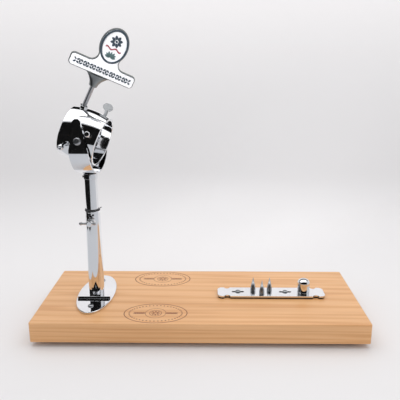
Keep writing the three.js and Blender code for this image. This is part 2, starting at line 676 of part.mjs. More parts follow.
function buildHandle() {
  const place = radialGroup(HANDLE);
  addSpike(place, 'spike_handle', HANDLE.radius, HANDLE.pinRadius);

  const boss = plate(hexagon(HEXAGON), RING.radius - 2, HANDLE.bossTop, 0.5);
  const bore = drill(HANDLE.radius + CLEARANCE, RING.radius - 5, HANDLE.bossTop + 2);
  const ringSpace = ringSolid(-20, CLEARANCE)
    .translate(-HANDLE.along, 0, -RING.radius)
    .rotateY(-radians(HANDLE.lean))
    .translate(0, 0, RING.radius);
  add(place, 'handle_boss', cut(boss, [bore, ringSpace]), CHROME);

  const sign = groupAt(place, 0, 0, 0);
  sign.rotation.z = radians(HANDLE.turn);
  const bottom = SOCKET.start;
  const boreTop = bottom + SOCKET.bore;
  const shaft = turned([
    ...screwEnd(HANDLE.radius, HANDLE.pinRadius),
    [HANDLE.radius, boreTop - 1],
    [HANDLE.radius - 0.6, boreTop - CLEARANCE],
    [0, boreTop - CLEARANCE],
  ], 16);
  add(sign, 'handle_shaft', shaft, STEEL);

  const top = SIGN.barCentre - SIGN.barHeight / 2 - CLEARANCE;
  const fan = new THREE.Shape();
  fan.moveTo(-SOCKET.neck, bottom);
  fan.lineTo(SOCKET.neck, bottom);
  fan.quadraticCurveTo(SOCKET.waist, boreTop + 1, SOCKET.top, top);
  fan.lineTo(-SOCKET.top, top);
  fan.quadraticCurveTo(-SOCKET.waist, boreTop + 1, -SOCKET.neck, bottom);
  const socket = uprightPlate(fan, -SOCKET.halfThickness, SOCKET.halfThickness, 1, 4);
  const socketBore = drill(HANDLE.radius + CLEARANCE, bottom - 1, boreTop, 16);
  add(sign, 'sign_socket', cut(socket, [socketBore]), CAST_METAL);

  const face = groupAt(sign, SIGN.shift, 0, SIGN.barCentre);
  const front = -SIGN.thickness / 2;
  add(face, 'sign_plate', signBody(front, -front, 0, 0.8), CAST_METAL);
  const faceFront = front - CLEARANCE - 1;
  add(face, 'sign_face', signBody(faceFront, front - CLEARANCE, SIGN.border, 0), ENAMEL);
  const { shift, halfWidth, halfHeight, rimWidth, offset } = MEDALLION;
  const rimOutline = ellipse(halfWidth, halfHeight, shift, offset);
  rimOutline.holes.push(ellipse(halfWidth - rimWidth, halfHeight - rimWidth, shift, offset));
  const rim = uprightPlate(rimOutline, faceFront - CLEARANCE - 0.9, faceFront - CLEARANCE, 0, 18);
  add(face, 'medallion_rim', rim, DARK_ENAMEL);
}

// ---------------------------------------------------------------- ham rest

const STUD_RADIUS = 2.6;

function spikeY(index) {
  return index % 2 === 0 ? SPIKES.stagger : -SPIKES.stagger;
}

// The rest's outline: round corners and the two slots that its screws go through.
function restOutline(inset) {
  const { halfLength, halfWidth } = REST;
  const shape = roundedRectangle(halfLength - inset, halfWidth - inset, 9 - inset);
  for (const slot of REST_SLOTS) {
    const { halfLength: slotLength, halfWidth: slotWidth } = REST_SLOT;
    shape.holes.push(roundedRectangle(slotLength, slotWidth, slotWidth - 0.01, slot, 0));
  }
  return shape;
}

// One layer of the rest, with a round bite in each long edge near the ends and its stud holes.
function restLayer(inset, bottom, top) {
  const bites = [];
  const biteX = REST.halfLength - 18.5;
  for (const sideX of [-1, 1]) {
    for (const sideY of [-1, 1]) {
      bites.push(drill(5.5 + inset, bottom - 1, top + 1, 16)
        .translate(sideX * biteX, sideY * (REST.halfWidth + 0.5), 0));
    }
  }
  const stud = STUD_RADIUS + CLEARANCE;
  bites.push(drill(stud, bottom - 1, top + 1, SMALL).translate(STOP_POST.along, STOP_POST.y, 0));
  SPIKES.alongs.forEach((along, index) => {
    bites.push(drill(stud, bottom - 1, top + 1, SMALL).translate(along, spikeY(index), 0));
  });
  return cut(plate(restOutline(inset), bottom, top, 0, 3), bites);
}

function buildHamRest() {
  const place = groupAt(stand, REST.x, REST.y, 0);
  const padTop = BOARD_TOP + REST.pad;
  add(place, 'rest_pad', restLayer(1, BOARD_TOP, padTop), RUBBER);
  add(place, 'rest_plate', restLayer(0, padTop, REST_TOP), CHROME);

  const { radius, height, along, y } = STOP_POST;
  const post = turned([
    [0, BOARD_TOP + 1],
    [STUD_RADIUS, BOARD_TOP + 1],
    [STUD_RADIUS, REST_TOP + 0.1],
    [radius, REST_TOP + 0.1],
    [radius, REST_TOP + height - 8],
    [radius * 0.87, REST_TOP + height - 4],
    [radius * 0.5, REST_TOP + height - 1.1],
    [0, REST_TOP + height],
  ], TUBE);
  add(place, 'stop_post', post.translate(along, y, 0), CHROME);

  SPIKES.alongs.forEach((spikeAlong, index) => {
    const spike = turned([
      [0, BOARD_TOP + 1],
      [STUD_RADIUS, BOARD_TOP + 1],
      [STUD_RADIUS, REST_TOP + 0.1],
      [SPIKES.radius, REST_TOP + 0.1],
      [SPIKES.radius, REST_TOP + 5],
      [0, REST_TOP + SPIKES.height],
    ], ROUND);
    add(place, `rest_spike_${index + 1}`, spike.translate(spikeAlong, spikeY(index), 0), STEEL);
  });

  REST_SLOTS.forEach((slot, index) => {
    const { headRadius, headHeight, radius: shank, length } = REST_SCREW;
    const screw = panHeadScrew(REST_TOP + 0.1, headRadius, headHeight, shank, length);
    const name = index === 0 ? 'rest_screw_left' : 'rest_screw_right';
    add(place, name, screw.translate(slot, 0, 0), STEEL);
  });
}

buildBoard();
buildFeet();
buildFootPlate();
buildLowerTube();
buildWireClip();
buildHeightLock();
buildUpperColumn();
buildCradle();
buildRing();
buildClampScrews();
buildHandle();
buildHamRest();

export default stand;
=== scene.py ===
import json
import math

import bmesh
import bpy
from mathutils import Matrix, Vector


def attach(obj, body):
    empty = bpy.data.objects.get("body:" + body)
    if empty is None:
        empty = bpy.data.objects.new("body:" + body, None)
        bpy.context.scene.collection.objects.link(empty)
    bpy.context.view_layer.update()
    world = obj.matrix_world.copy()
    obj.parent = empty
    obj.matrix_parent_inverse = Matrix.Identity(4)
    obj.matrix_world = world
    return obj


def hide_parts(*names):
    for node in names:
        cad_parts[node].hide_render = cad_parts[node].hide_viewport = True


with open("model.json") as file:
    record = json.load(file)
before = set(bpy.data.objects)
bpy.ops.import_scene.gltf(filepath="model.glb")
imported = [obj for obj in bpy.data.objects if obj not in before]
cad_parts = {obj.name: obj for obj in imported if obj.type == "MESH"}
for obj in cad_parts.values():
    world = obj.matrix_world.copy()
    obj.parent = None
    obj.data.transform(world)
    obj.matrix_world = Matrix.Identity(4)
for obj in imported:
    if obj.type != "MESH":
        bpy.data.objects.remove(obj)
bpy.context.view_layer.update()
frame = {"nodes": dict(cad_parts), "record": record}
nodes = frame["nodes"]

# Lengths are millimetres in the frame of the CAD model: +X from the column to the ham rest,
# +Y to the far side, +Z up, origin under the middle of the board. Mesh helpers turn them into metres.
MM = 0.001
# The clearance between pieces that turn or slide in each other.
GAP = 0.3

# ---- driving dimensions

BOARD_LENGTH, BOARD_WIDTH, BOARD_BOTTOM, BOARD_TOP = 600, 240, 9, 46
PLATE_TOP = 50
COLUMN_X = -203
FOOT_PLATE_HALF = (35.5, 86)
FOOT_PLATE_SCREW_Y = 59
CROSSBAR_Y, CROSSBAR_WIDTH, CROSSBAR_HEIGHT, CROSSBAR_OVERHANG = -24.5, 9, 5, 3
FOOT_X, FOOT_Y, FOOT_RADIUS = 268, 92, 12
SEAL_X, SEAL_Y, SEAL_HALF = -80.5, {"front": -79, "back": 77}, (58, 38)

LOWER_TUBE_RADII = (15, 14)
LOWER_TUBE_BORE, LOWER_TUBE_TOP = 12.9, 218
BUSH_BOTTOM, BUSH_FLANGE = 206, 1.6
UPPER_TUBE_RADIUS, UPPER_TUBE_BORE = 11.7, 9.7
UPPER_TUBE_ENDS = (128, 286)
COLLAR_RADIUS, COLLAR_ENDS = 12.9, (279, 288.8)
LOCK_Z, LOCK_BOSS_RADIUS, LOCK_BOSS_END, LOCK_SCREW_RADIUS = 200.6, 6.5, 23, 3.8
LOCK_KNOB_START, LOCK_KNOB_END, LOCK_KNOB_RADIUS = 27, 35, 5.5
TOMMY_BAR_RADIUS, TOMMY_BAR_HALF, TOMMY_BAR_BALL, TOMMY_BAR_OFFSET = 2, 12.5, 3, -3.7
TAB_Z, TAB_OUTER = 212, 15.5

HEAD_YAW, HEAD_TILT, PIVOT_Z = 8, 19.5, 355.5
PIVOT_HEAD, PIVOT_SHANK = (6.5, 3.6), 3.9
CRADLE_INNER, CRADLE_THICKNESS, CRADLE_HALF_WIDTH = 51.5, 3, 17.5
CRADLE_BOTTOM, CRADLE_TAB_TOP, CRADLE_TAB_RADIUS = 290, 394, 8
CRADLE_OUTER = CRADLE_INNER + CRADLE_THICKNESS
CRADLE_CENTRE_Z = CRADLE_BOTTOM + CRADLE_OUTER
RING_RADIUS, RING_END_RADIUS, RING_WALL = 50, 45.5, 4.5
RING_ENDS = (-39.5, 28.5)
RING_CUT = (35, 60)
SPIKE_TIP, SPIKE_BACK, SPIKE_RADIUS, PIN_DEPTH = 23, 32, 3.6, 2.5
CLAMP_PIN_RADIUS, HANDLE_PIN_RADIUS = 1.4, 1.8
CLAMP_SCREWS = {"lower_near": (-24, 108), "lower_far": (-24, 228), "upper_near": (15, 72)}
CLAMP_SCREW_RADIUS, CLAMP_HEAD_RADIUS, CLAMP_HEAD_ENDS = 3, 5, (59, 65.6)
THUMB_SCREW_PLACE, THUMB_WING = (15.5, -12), (55.5, 14.5, 19)

HANDLE_PLACE, HANDLE_TURN, HANDLE_RADIUS, HANDLE_BOSS_TOP = (-22, 6, 10), 25.7, 4.2, 53.5
SOCKET_START, SOCKET_BORE, SOCKET_NECK, SOCKET_TOP = 92.5, 11, 7.5, 20
SIGN_CENTRE, SIGN_SHIFT, SIGN_HALF_LENGTH, SIGN_HALF_HEIGHT, SIGN_THICKNESS = 125.8, 4, 58.8, 11.5, 5
SIGN_BORDER = 1.8
OVAL_SHIFT, OVAL_OFFSET, OVAL_HALF, OVAL_EDGE, OVAL_RIM = 2.1, 46.3, (22.8, 30), 1.6, 3.4

REST_X, REST_Y, REST_HALF_LENGTH, REST_HALF_WIDTH = 137, 2, 103.5, 20
REST_PAD_TOP, REST_TOP = 49, 52
REST_SLOTS = (-64, 28)
STOP_POST_PLACE, STOP_POST_RADIUS, STOP_POST_HEIGHT = (64, 3), 12, 27
REST_SPIKES = ((-34, 7), (-18, -7), (-2, 7))
REST_SPIKE_RADIUS, REST_SPIKE_SHOULDER, REST_SPIKE_HEIGHT = 5, 5, 28
REST_STEM_RADIUS, REST_STEM_BOTTOM = 2.6, BOARD_TOP + 1

# The camera is in metres and radians.
CAMERA_PLACE, CAMERA_LENS = (0.01487, -0.9485, 0.4869), 47.29
CAMERA_PITCH, CAMERA_YAW, CAMERA_ROLL = 0.25675, -0.016356, -0.0024

# ---- materials


class Shader:
    """A node material with one Principled shader, and short ways to add the nodes that feed it."""

    def __init__(self, name, **sockets):
        self.material = bpy.data.materials.new(name)
        self.material.use_nodes = True
        self.nodes = self.material.node_tree.nodes
        self.links = self.material.node_tree.links
        self.surface = self.nodes["Principled BSDF"]
        for socket, value in sockets.items():
            self.surface.inputs[socket.replace("_", " ")].default_value = value

    def link(self, output, node, socket):
        self.links.new(output, node.inputs[socket])

    def coordinates(self, stretch=(1, 1, 1)):
        source = self.nodes.new("ShaderNodeTexCoord")
        mapping = self.nodes.new("ShaderNodeMapping")
        mapping.inputs["Scale"].default_value = stretch
        self.link(source.outputs["Object"], mapping, "Vector")
        return mapping.outputs["Vector"]

    def noise(self, scale, detail=3, roughness=0.5, stretch=(1, 1, 1)):
        texture = self.nodes.new("ShaderNodeTexNoise")
        texture.inputs["Scale"].default_value = scale
        texture.inputs["Detail"].default_value = detail
        texture.inputs["Roughness"].default_value = roughness
        self.link(self.coordinates(stretch), texture, "Vector")
        return texture.outputs["Fac"]

    def waves(self, scale, distortion, stretch):
        texture = self.nodes.new("ShaderNodeTexWave")
        texture.bands_direction = "DIAGONAL"
        texture.inputs["Scale"].default_value = scale
        texture.inputs["Distortion"].default_value = distortion
        texture.inputs["Detail"].default_value = 3
        texture.inputs["Detail Scale"].default_value = 1.4
        self.link(self.coordinates(stretch), texture, "Vector")
        return texture.outputs["Fac"]

    def ramp(self, factor, stops):
        node = self.nodes.new("ShaderNodeValToRGB")
        elements = node.color_ramp.elements
        while len(elements) < len(stops):
            elements.new(0.5)
        for element, (position, color) in zip(elements, stops):
            element.position = position
            element.color = (*color, 1)
        self.link(factor, node, "Fac")
        return node.outputs["Color"]

    def mix(self, kind, amount, first, second):
        node = self.nodes.new("ShaderNodeMix")
        node.data_type = "RGBA"
        node.blend_type = kind
        node.inputs["Factor"].default_value = amount
        self.links.new(first, node.inputs[6])
        self.links.new(second, node.inputs[7])
        return node.outputs[2]

    def between(self, factor, low, high):
        node = self.nodes.new("ShaderNodeMapRange")
        node.inputs["To Min"].default_value = low
        node.inputs["To Max"].default_value = high
        self.link(factor, node, "Value")
        return node.outputs["Result"]

    def color(self, output):
        self.link(output, self.surface, "Base Color")

    def roughness(self, factor, low, high):
        self.link(self.between(factor, low, high), self.surface, "Roughness")

    def bump(self, height, strength, distance):
        node = self.nodes.new("ShaderNodeBump")
        node.inputs["Strength"].default_value = strength
        node.inputs["Distance"].default_value = distance
        self.link(height, node, "Height")
        self.link(node.outputs["Normal"], self.surface, "Normal")


def metal_material(name, color, low, high, bump_strength, stretch=(1, 1, 1), scale=90):
    """A metal whose tone and gloss vary slightly, with a fine relief."""
    shader = Shader(name, Metallic=1.0)
    tone = shader.noise(14, detail=2)
    darker = tuple(0.9 * c for c in color)
    shader.color(shader.ramp(tone, [(0.3, darker), (0.7, color)]))
    shader.roughness(shader.noise(scale, detail=4, stretch=stretch), low, high)
    shader.bump(shader.noise(scale * 3, detail=3, stretch=stretch), bump_strength, 0.0002)
    return shader.material


def coated_material(name, color, low, high, coat, relief=0.08):
    """Paint, enamel, rubber or plastic: one colour with slight variation under an optional coat."""
    shader = Shader(name, Coat_Weight=coat, Coat_Roughness=0.08)
    darker = tuple(0.86 * c for c in color)
    shader.color(shader.ramp(shader.noise(40, detail=4), [(0.3, darker), (0.65, color)]))
    shader.roughness(shader.noise(160, detail=3), low, high)
    shader.bump(shader.noise(700, detail=2), relief, 0.0002)
    return shader.material


def pine_material():
    """Oiled pine: growth rings drawn out along X, fine fibres, and a satin surface."""
    shader = Shader("pine", Coat_Weight=0.18, Coat_Roughness=0.22)
    rings = shader.waves(2.6, 9, (0.35, 9, 26))
    broad = shader.noise(2.0, detail=3, stretch=(1, 4, 9))
    fibres = shader.noise(20, detail=5, roughness=0.65, stretch=(0.3, 7, 14))
    pale, warm, late = (0.86, 0.50, 0.245), (0.83, 0.465, 0.215), (0.76, 0.395, 0.165)
    ring_color = shader.ramp(rings, [(0.0, pale), (0.7, warm), (1.0, late)])
    broad_color = shader.ramp(broad, [(0.3, (0.88, 0.84, 0.78)), (0.7, (1.0, 1.0, 1.0))])
    fibre_color = shader.ramp(fibres, [(0.35, (0.90, 0.86, 0.82)), (0.62, (1.0, 1.0, 1.0))])
    grain = shader.mix("MULTIPLY", 1.0, ring_color, broad_color)
    shader.color(shader.mix("MULTIPLY", 0.8, grain, fibre_color))
    shader.roughness(fibres, 0.34, 0.5)
    shader.bump(fibres, 0.12, 0.0004)
    return shader.material


CHROME = metal_material("chrome", (0.88, 0.89, 0.91), 0.035, 0.075, 0.02, scale=30)
STEEL = metal_material("steel", (0.50, 0.51, 0.53), 0.26, 0.4, 0.08)
BLACK_STEEL = metal_material("black_steel", (0.12, 0.12, 0.13), 0.3, 0.45, 0.1)
CAST_METAL = metal_material("cast_metal", (0.36, 0.38, 0.38), 0.26, 0.38, 0.12, scale=120)
SATIN_METAL = coated_material("satin_metal", (0.30, 0.31, 0.32), 0.3, 0.42, 0.1)
PINE = pine_material()
RUBBER = coated_material("rubber", (0.022, 0.022, 0.023), 0.7, 0.9, 0.0, relief=0.25)
NYLON = coated_material("nylon", (0.03, 0.03, 0.033), 0.42, 0.6, 0.0)
WHITE_ENAMEL = coated_material("white_enamel", (0.93, 0.94, 0.97), 0.3, 0.4, 0.2, relief=0.03)
SLATE_ENAMEL = coated_material("slate_enamel", (0.035, 0.055, 0.075), 0.25, 0.36, 0.3, relief=0.03)
RED_ENAMEL = coated_material("red_enamel", (0.32, 0.05, 0.07), 0.25, 0.36, 0.3, relief=0.03)
GREEN_ENAMEL = coated_material("green_enamel", (0.10, 0.17, 0.17), 0.25, 0.36, 0.3, relief=0.03)
BURNED_WOOD = coated_material("burned_wood", (0.30, 0.115, 0.055), 0.6, 0.8, 0.0, relief=0.3)

SLOTS = {
    "chrome": CHROME,
    "steel": STEEL,
    "black_steel": BLACK_STEEL,
    "cast_metal": CAST_METAL,
    "pine": PINE,
    "rubber": RUBBER,
    "nylon": NYLON,
    "white_enamel": WHITE_ENAMEL,
    "slate_enamel": SLATE_ENAMEL,
}


# ---- mesh helpers


def new_piece(name, points, faces, place=Matrix.Identity(4)):
    """A mesh object from points in millimetres, moved by place, standing in the part's frame."""
    mesh = bpy.data.meshes.new(name)
    mesh.from_pydata([(place @ Vector(p)) * MM for p in points], [], faces)
    mesh.validate()
    piece = bpy.data.objects.new(name, mesh)
    bpy.context.scene.collection.objects.link(piece)
    return piece


def outward(piece):
    """Turns every face of a closed mesh to face outwards."""
    shape = bmesh.new()
    shape.from_mesh(piece.data)
    bmesh.ops.recalc_face_normals(shape, faces=shape.faces)
    shape.to_mesh(piece.data)
    shape.free()


def smooth(piece, angle=38):
    """Smooth shading with crisp edges, where the large faces keep their own direction."""
    piece.data.shade_smooth()
    piece.data.set_sharp_from_angle(angle=math.radians(angle))
    normals = piece.modifiers.new("normals", "WEIGHTED_NORMAL")
    normals.weight = 100
    normals.keep_sharp = True


def eased(piece, width, segments=3, angle=50):
    bevel = piece.modifiers.new("eased", "BEVEL")
    bevel.width = width * MM
    bevel.segments = segments
    bevel.limit_method = "ANGLE"
    bevel.angle_limit = math.radians(angle)
    bevel.use_clamp_overlap = True


def apply_modifiers(piece):
    shown = piece.evaluated_get(bpy.context.evaluated_depsgraph_get())
    mesh = bpy.data.meshes.new_from_object(shown)
    piece.modifiers.clear()
    piece.data = mesh


def cut(piece, tools):
    """Cuts each tool out of the piece and removes the tools."""
    for tool in tools:
        difference = piece.modifiers.new("cut", "BOOLEAN")
        difference.operation = "DIFFERENCE"
        difference.solver = "EXACT"
        difference.object = tool
    apply_modifiers(piece)
    for tool in tools:
        bpy.data.objects.remove(tool)


def dress(piece, material, slot, body, *replaced):
    """Gives a piece its material and body, and says which CAD nodes it stands for. The slot argument is not
    used.
    """
    piece.data.materials.clear()
    piece.data.materials.append(material)
    smooth(piece)
    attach(piece, body)
    if replaced:
        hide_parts(*replaced)
    return piece


def rounded(corners, size, closed):
    """A polyline with every corner rounded off, unless it is nearly straight."""
    points = []
    count = len(corners)
    for index, corner in enumerate(corners):
        if not closed and index in (0, count - 1):
            points.append(corner)
            continue
        before = Vector(corners[index - 1])
        here = Vector(corner)
        after = Vector(corners[(index + 1) % count])
        to_before, to_after = before - here, after - here
        if to_before.angle(-to_after) < math.radians(12):
            points.append(corner)
            continue
        reach = min(size, 0.45 * to_before.length, 0.45 * to_after.length)
        start = here + to_before.normalized() * reach
        end = here + to_after.normalized() * reach
        for step in range(5):
            t = step / 4
            points.append(tuple((1 - t) ** 2 * start + 2 * t * (1 - t) * here + t * t * end))
    return points


def quads_between(first, second, count):
    """The faces between two closed rows of count points, from the index of each row's first point."""
    faces = []
    for k in range(count):
        after = (k + 1) % count
        faces.append((first + k, first + after, second + after, second + k))
    return faces


def revolve(name, profile, place, segments):
    """The surface of (radius, z) points turned about the local Z."""
    points, rows = [], []
    for radius, z in profile:
        if radius < 1e-6:
            rows.append([len(points)] * segments)
            points.append((0, 0, z))
            continue
        rows.append([len(points) + k for k in range(segments)])
        for k in range(segments):
            angle = 2 * math.pi * k / segments
            points.append((radius * math.cos(angle), radius * math.sin(angle), z))
    faces = []
    for low, high in zip(rows, rows[1:]):
        for k in range(segments):
            after = (k + 1) % segments
            corners = dict.fromkeys([low[k], low[after], high[after], high[k]])
            faces.append(list(corners))
    return new_piece(name, points, faces, place)


def turned(name, corners, place=Matrix.Identity(4), segments=72, rounding=0.4):
    """A solid lathe piece from corner points that run from the axis round to the axis."""
    piece = revolve(name, rounded(corners, rounding, closed=False), place, segments)
    outward(piece)
    return piece


def sleeve(name, corners, place=Matrix.Identity(4), segments=72, rounding=0.4):
    """A hollow lathe piece from the corners of its closed section."""
    section = rounded(corners, rounding, closed=True)
    piece = revolve(name, section + section[:1], place, segments)
    join_doubles(piece)
    outward(piece)
    return piece


def join_doubles(piece):
    shape = bmesh.new()
    shape.from_mesh(piece.data)
    bmesh.ops.remove_doubles(shape, verts=shape.verts, dist=1e-7)
    shape.to_mesh(piece.data)
    shape.free()


def tool_rod(radius, bottom, top, place, segments=48):
    """A plain rod that is only used to cut a hole."""
    return turned("tool", [(0, bottom), (radius, bottom), (radius, top), (0, top)], place, segments, 0)


def tool_box(size, place):
    x, y, z = (0.5 * s for s in size)
    corners = [(sx * x, sy * y, sz * z) for sx in (-1, 1) for sy in (-1, 1) for sz in (-1, 1)]
    faces = [(0, 1, 3, 2), (4, 6, 7, 5), (0, 4, 5, 1), (2, 3, 7, 6), (0, 2, 6, 4), (1, 5, 7, 3)]
    return new_piece("tool", corners, faces, place)


def arc(centre, radius, start, end, steps):
    """Points on a circle between two angles in degrees."""
    angles = [math.radians(start + (end - start) * k / steps) for k in range(steps + 1)]
    return [(centre[0] + radius * math.cos(a), centre[1] + radius * math.sin(a)) for a in angles]


def oval(half_width, half_height, centre=(0, 0), steps=96):
    angles = [2 * math.pi * k / steps for k in range(steps)]
    return [(centre[0] + half_width * math.cos(a), centre[1] + half_height * math.sin(a)) for a in angles]


def round_rectangle(half_width, half_height, radius, centre=(0, 0), steps=10):
    x, y = half_width - radius, half_height - radius
    corners = [((x, -y), -90), ((x, y), 0), ((-x, y), 90), ((-x, -y), 180)]
    points = []
    for (cx, cy), start in corners:
        points += arc((centre[0] + cx, centre[1] + cy), radius, start, start + 90, steps)
    return points


def layered(name, outline, section, place=Matrix.Identity(4)):
    """A plate with a shaped rim. outline(inset) gives its closed outline, with as many points at every inset,
    and section is (inset, z) from the bottom face, round the rim, to the top face."""
    points = [(x, y, z) for inset, z in section for x, y in outline(inset)]
    count = len(points) // len(section)
    top = len(points) - count
    faces = [list(range(count))[::-1], list(range(top, top + count))]
    for low in range(0, top, count):
        faces += quads_between(low, low + count, count)
    piece = new_piece(name, points, faces, place)
    outward(piece)
    return piece


def slab(name, outline, low, high, place=Matrix.Identity(4), upright=False):
    """An outline with straight sides between two levels. Upright, it lies in XZ, with levels along Y."""
    def at(x, y, level):
        return (x, level, y) if upright else (x, y, level)

    count = len(outline)
    points = [at(x, y, low) for x, y in outline] + [at(x, y, high) for x, y in outline]
    faces = [list(range(count))[::-1], list(range(count, 2 * count))]
    faces += quads_between(0, count, count)
    piece = new_piece(name, points, faces, place)
    outward(piece)
    return piece


def hexagon(across_flats):
    corner = across_flats / math.sqrt(3)
    return oval(corner, corner, steps=6)


def merged(name, pieces):
    """Several meshes as one object."""
    shape = bmesh.new()
    for piece in pieces:
        shape.from_mesh(piece.data)
    mesh = bpy.data.meshes.new(name)
    shape.to_mesh(mesh)
    shape.free()
    for piece in pieces:
        bpy.data.objects.remove(piece)
    whole = bpy.data.objects.new(name, mesh)
    bpy.context.scene.collection.objects.link(whole)
    return whole


# ---- places


def move(x=0, y=0, z=0):
    return Matrix.Translation((x, y, z))


def turn(degrees, axis):
    return Matrix.Rotation(math.radians(degrees), 4, axis)


COLUMN = move(COLUMN_X)
SWIVEL = COLUMN @ turn(-HEAD_YAW, "Z")
HEAD = SWIVEL @ move(z=PIVOT_Z) @ turn(HEAD_TILT, "Y")
REST = move(REST_X, REST_Y)
LOCK = COLUMN @ move(z=LOCK_Z) @ turn(90, "X")


def on_ring(along, around, lean=0):
    """A place whose Z points outwards through the ring."""
    foot = HEAD @ move(along) @ turn(around, "X") @ move(z=RING_RADIUS)
    return foot @ turn(lean, "Y") @ move(z=-RING_RADIUS)


# ---- screws


def pan_screw(name, place, seat, head, shank, slot, body):
    """A cross-recessed screw with a domed head seated at z = seat. head is (radius, height) and shank is
    (radius, length). It replaces the CAD node of the same name."""
    head_radius, head_height = head
    shank_radius, shank_length = shank
    corners = [
        (0, seat - shank_length),
        (shank_radius * 0.45, seat - shank_length),
        (shank_radius, seat - shank_length + 1.6 * shank_radius),
        (shank_radius, seat),
        (head_radius, seat),
        (head_radius, seat + 0.42 * head_height),
        (head_radius * 0.86, seat + 0.74 * head_height),
        (head_radius * 0.5, seat + 0.95 * head_height),
        (0, seat + head_height),
    ]
    screw = turned(f"{name}_fine", corners, place, 48, 0.25 * head_height)
    depth = 0.5 * head_height
    level = move(z=seat + head_height - 0.5 * depth + 0.3)
    arms = [tool_box((1.15 * head_radius, 0.2 * head_radius, depth + 0.6), place @ level @ turn(angle, "Z"))
            for angle in (0, 90)]
    cut(screw, arms)
    dress(screw, SLOTS[slot], slot, body, name)


# ---- board and feet


def build_board():
    def outline(inset):
        return round_rectangle(BOARD_LENGTH / 2 - inset, BOARD_WIDTH / 2 - inset, 3.2 - 0.8 * inset, steps=6)

    corners = [(3, BOARD_BOTTOM), (0, BOARD_BOTTOM), (0, BOARD_TOP), (3, BOARD_TOP)]
    section = rounded(corners, 1.9, closed=False)
    board = layered("board_oiled_pine", outline, section)
    dress(board, PINE, "pine", "base", "base_board")
    for name, y in SEAL_Y.items():
        burned_seal(f"burned_seal_{name}", SEAL_X, y)


def burned_seal(name, x, y):
    """A generic oval mark burned into the board: a line, a ring of dots, and a rosette between two sprigs."""
    half_length, half_width = SEAL_HALF
    place = move(x, y, BOARD_TOP - 0.1)
    height = 0.14
    parts = [oval_band(place, half_length, half_width, 1.7, height)]
    parts.append(oval_band(place, 0.3 * half_width, 0.3 * half_width, 1.1, height))
    parts.append(oval_band(place, 0.5 * half_width, 0.5 * half_width, 0.9, height))
    dots = 44
    for k in range(dots):
        angle = 2 * math.pi * k / dots
        spot = move(0.83 * half_length * math.cos(angle), 0.8 * half_width * math.sin(angle))
        parts.append(slab("dot", oval(1.5, 1.5, steps=12), 0, height, place @ spot))
    for k in range(8):
        petal = oval(3.4, 1.3, (5.6, 0), steps=20)
        parts.append(slab("petal", petal, 0, height, place @ turn(45 * k, "Z")))
    for side in (-1, 1):
        for k in range(6):
            for lean in (-1, 1):
                spot = move(side * (21 + 3.4 * k), lean * 1.5) @ turn(side * lean * 30 + 90 - 90 * side, "Z")
                parts.append(slab("leaf", oval(2.8, 1.0, steps=16), 0, height, place @ spot))
    dress(merged(name, parts), BURNED_WOOD, "pine", "base")


def oval_band(place, half_length, half_width, line, height):
    """A flat band of even width round an oval."""
    steps = 128
    outside = oval(half_length, half_width, steps=steps)
    inside = oval(half_length - line, half_width - line, steps=steps)
    points = [(x, y, z) for z in (0, height) for ring in (outside, inside) for x, y in ring]
    faces = []
    for k in range(steps):
        after = (k + 1) % steps
        for a, b in ((0, steps), (2 * steps, 3 * steps), (0, 2 * steps), (steps, 3 * steps)):
            faces.append((a + k, a + after, b + after, b + k))
    band = new_piece("band", points, faces, place)
    outward(band)
    return band


def build_feet():
    seat = BOARD_BOTTOM / 2
    corners = [
        (5, 0), (FOOT_RADIUS - 2, 0), (FOOT_RADIUS, BOARD_BOTTOM),
        (2.3, BOARD_BOTTOM), (2.3, seat), (5, seat),
    ]
    for row, y in (("front", -FOOT_Y), ("back", FOOT_Y)):
        for side, x in (("left", -FOOT_X), ("right", FOOT_X)):
            foot = sleeve(f"rubber_pad_{row}_{side}", corners, move(x, y), 48, 0.8)
            dress(foot, RUBBER, "rubber", "base", f"rubber_foot_{row}_{side}")


# ---- column


def build_foot_plate():
    def outline(inset):
        return oval(FOOT_PLATE_HALF[0] - inset, FOOT_PLATE_HALF[1] - inset, steps=160)

    section = rounded([(4, BOARD_TOP), (0, BOARD_TOP), (0, PLATE_TOP), (4, PLATE_TOP)], 1.5, closed=False)
    dress(layered("foot_plate_chrome", outline, section, COLUMN), CHROME, "chrome", "base", "foot_plate")

    across = FOOT_PLATE_HALF[0] * math.sqrt(1 - (CROSSBAR_Y / FOOT_PLATE_HALF[1]) ** 2) - CROSSBAR_OVERHANG
    half_height = CROSSBAR_HEIGHT / 2
    section = round_rectangle(CROSSBAR_WIDTH / 2, half_height, 0.5, (0, half_height), steps=4)
    place = COLUMN @ move(0, CROSSBAR_Y, PLATE_TOP) @ turn(90, "Z")
    bar = slab("crossbar_chrome", section, -across, across, place, upright=True)
    eased(bar, 0.3)
    dress(bar, CHROME, "chrome", "base", "foot_crossbar")
    for name, side in (("front", -1), ("back", 1)):
        place = COLUMN @ move(0, side * FOOT_PLATE_SCREW_Y)
        pan_screw(f"plate_screw_{name}", place, PLATE_TOP, (5, 3), (2.4, 22), "steel", "base")


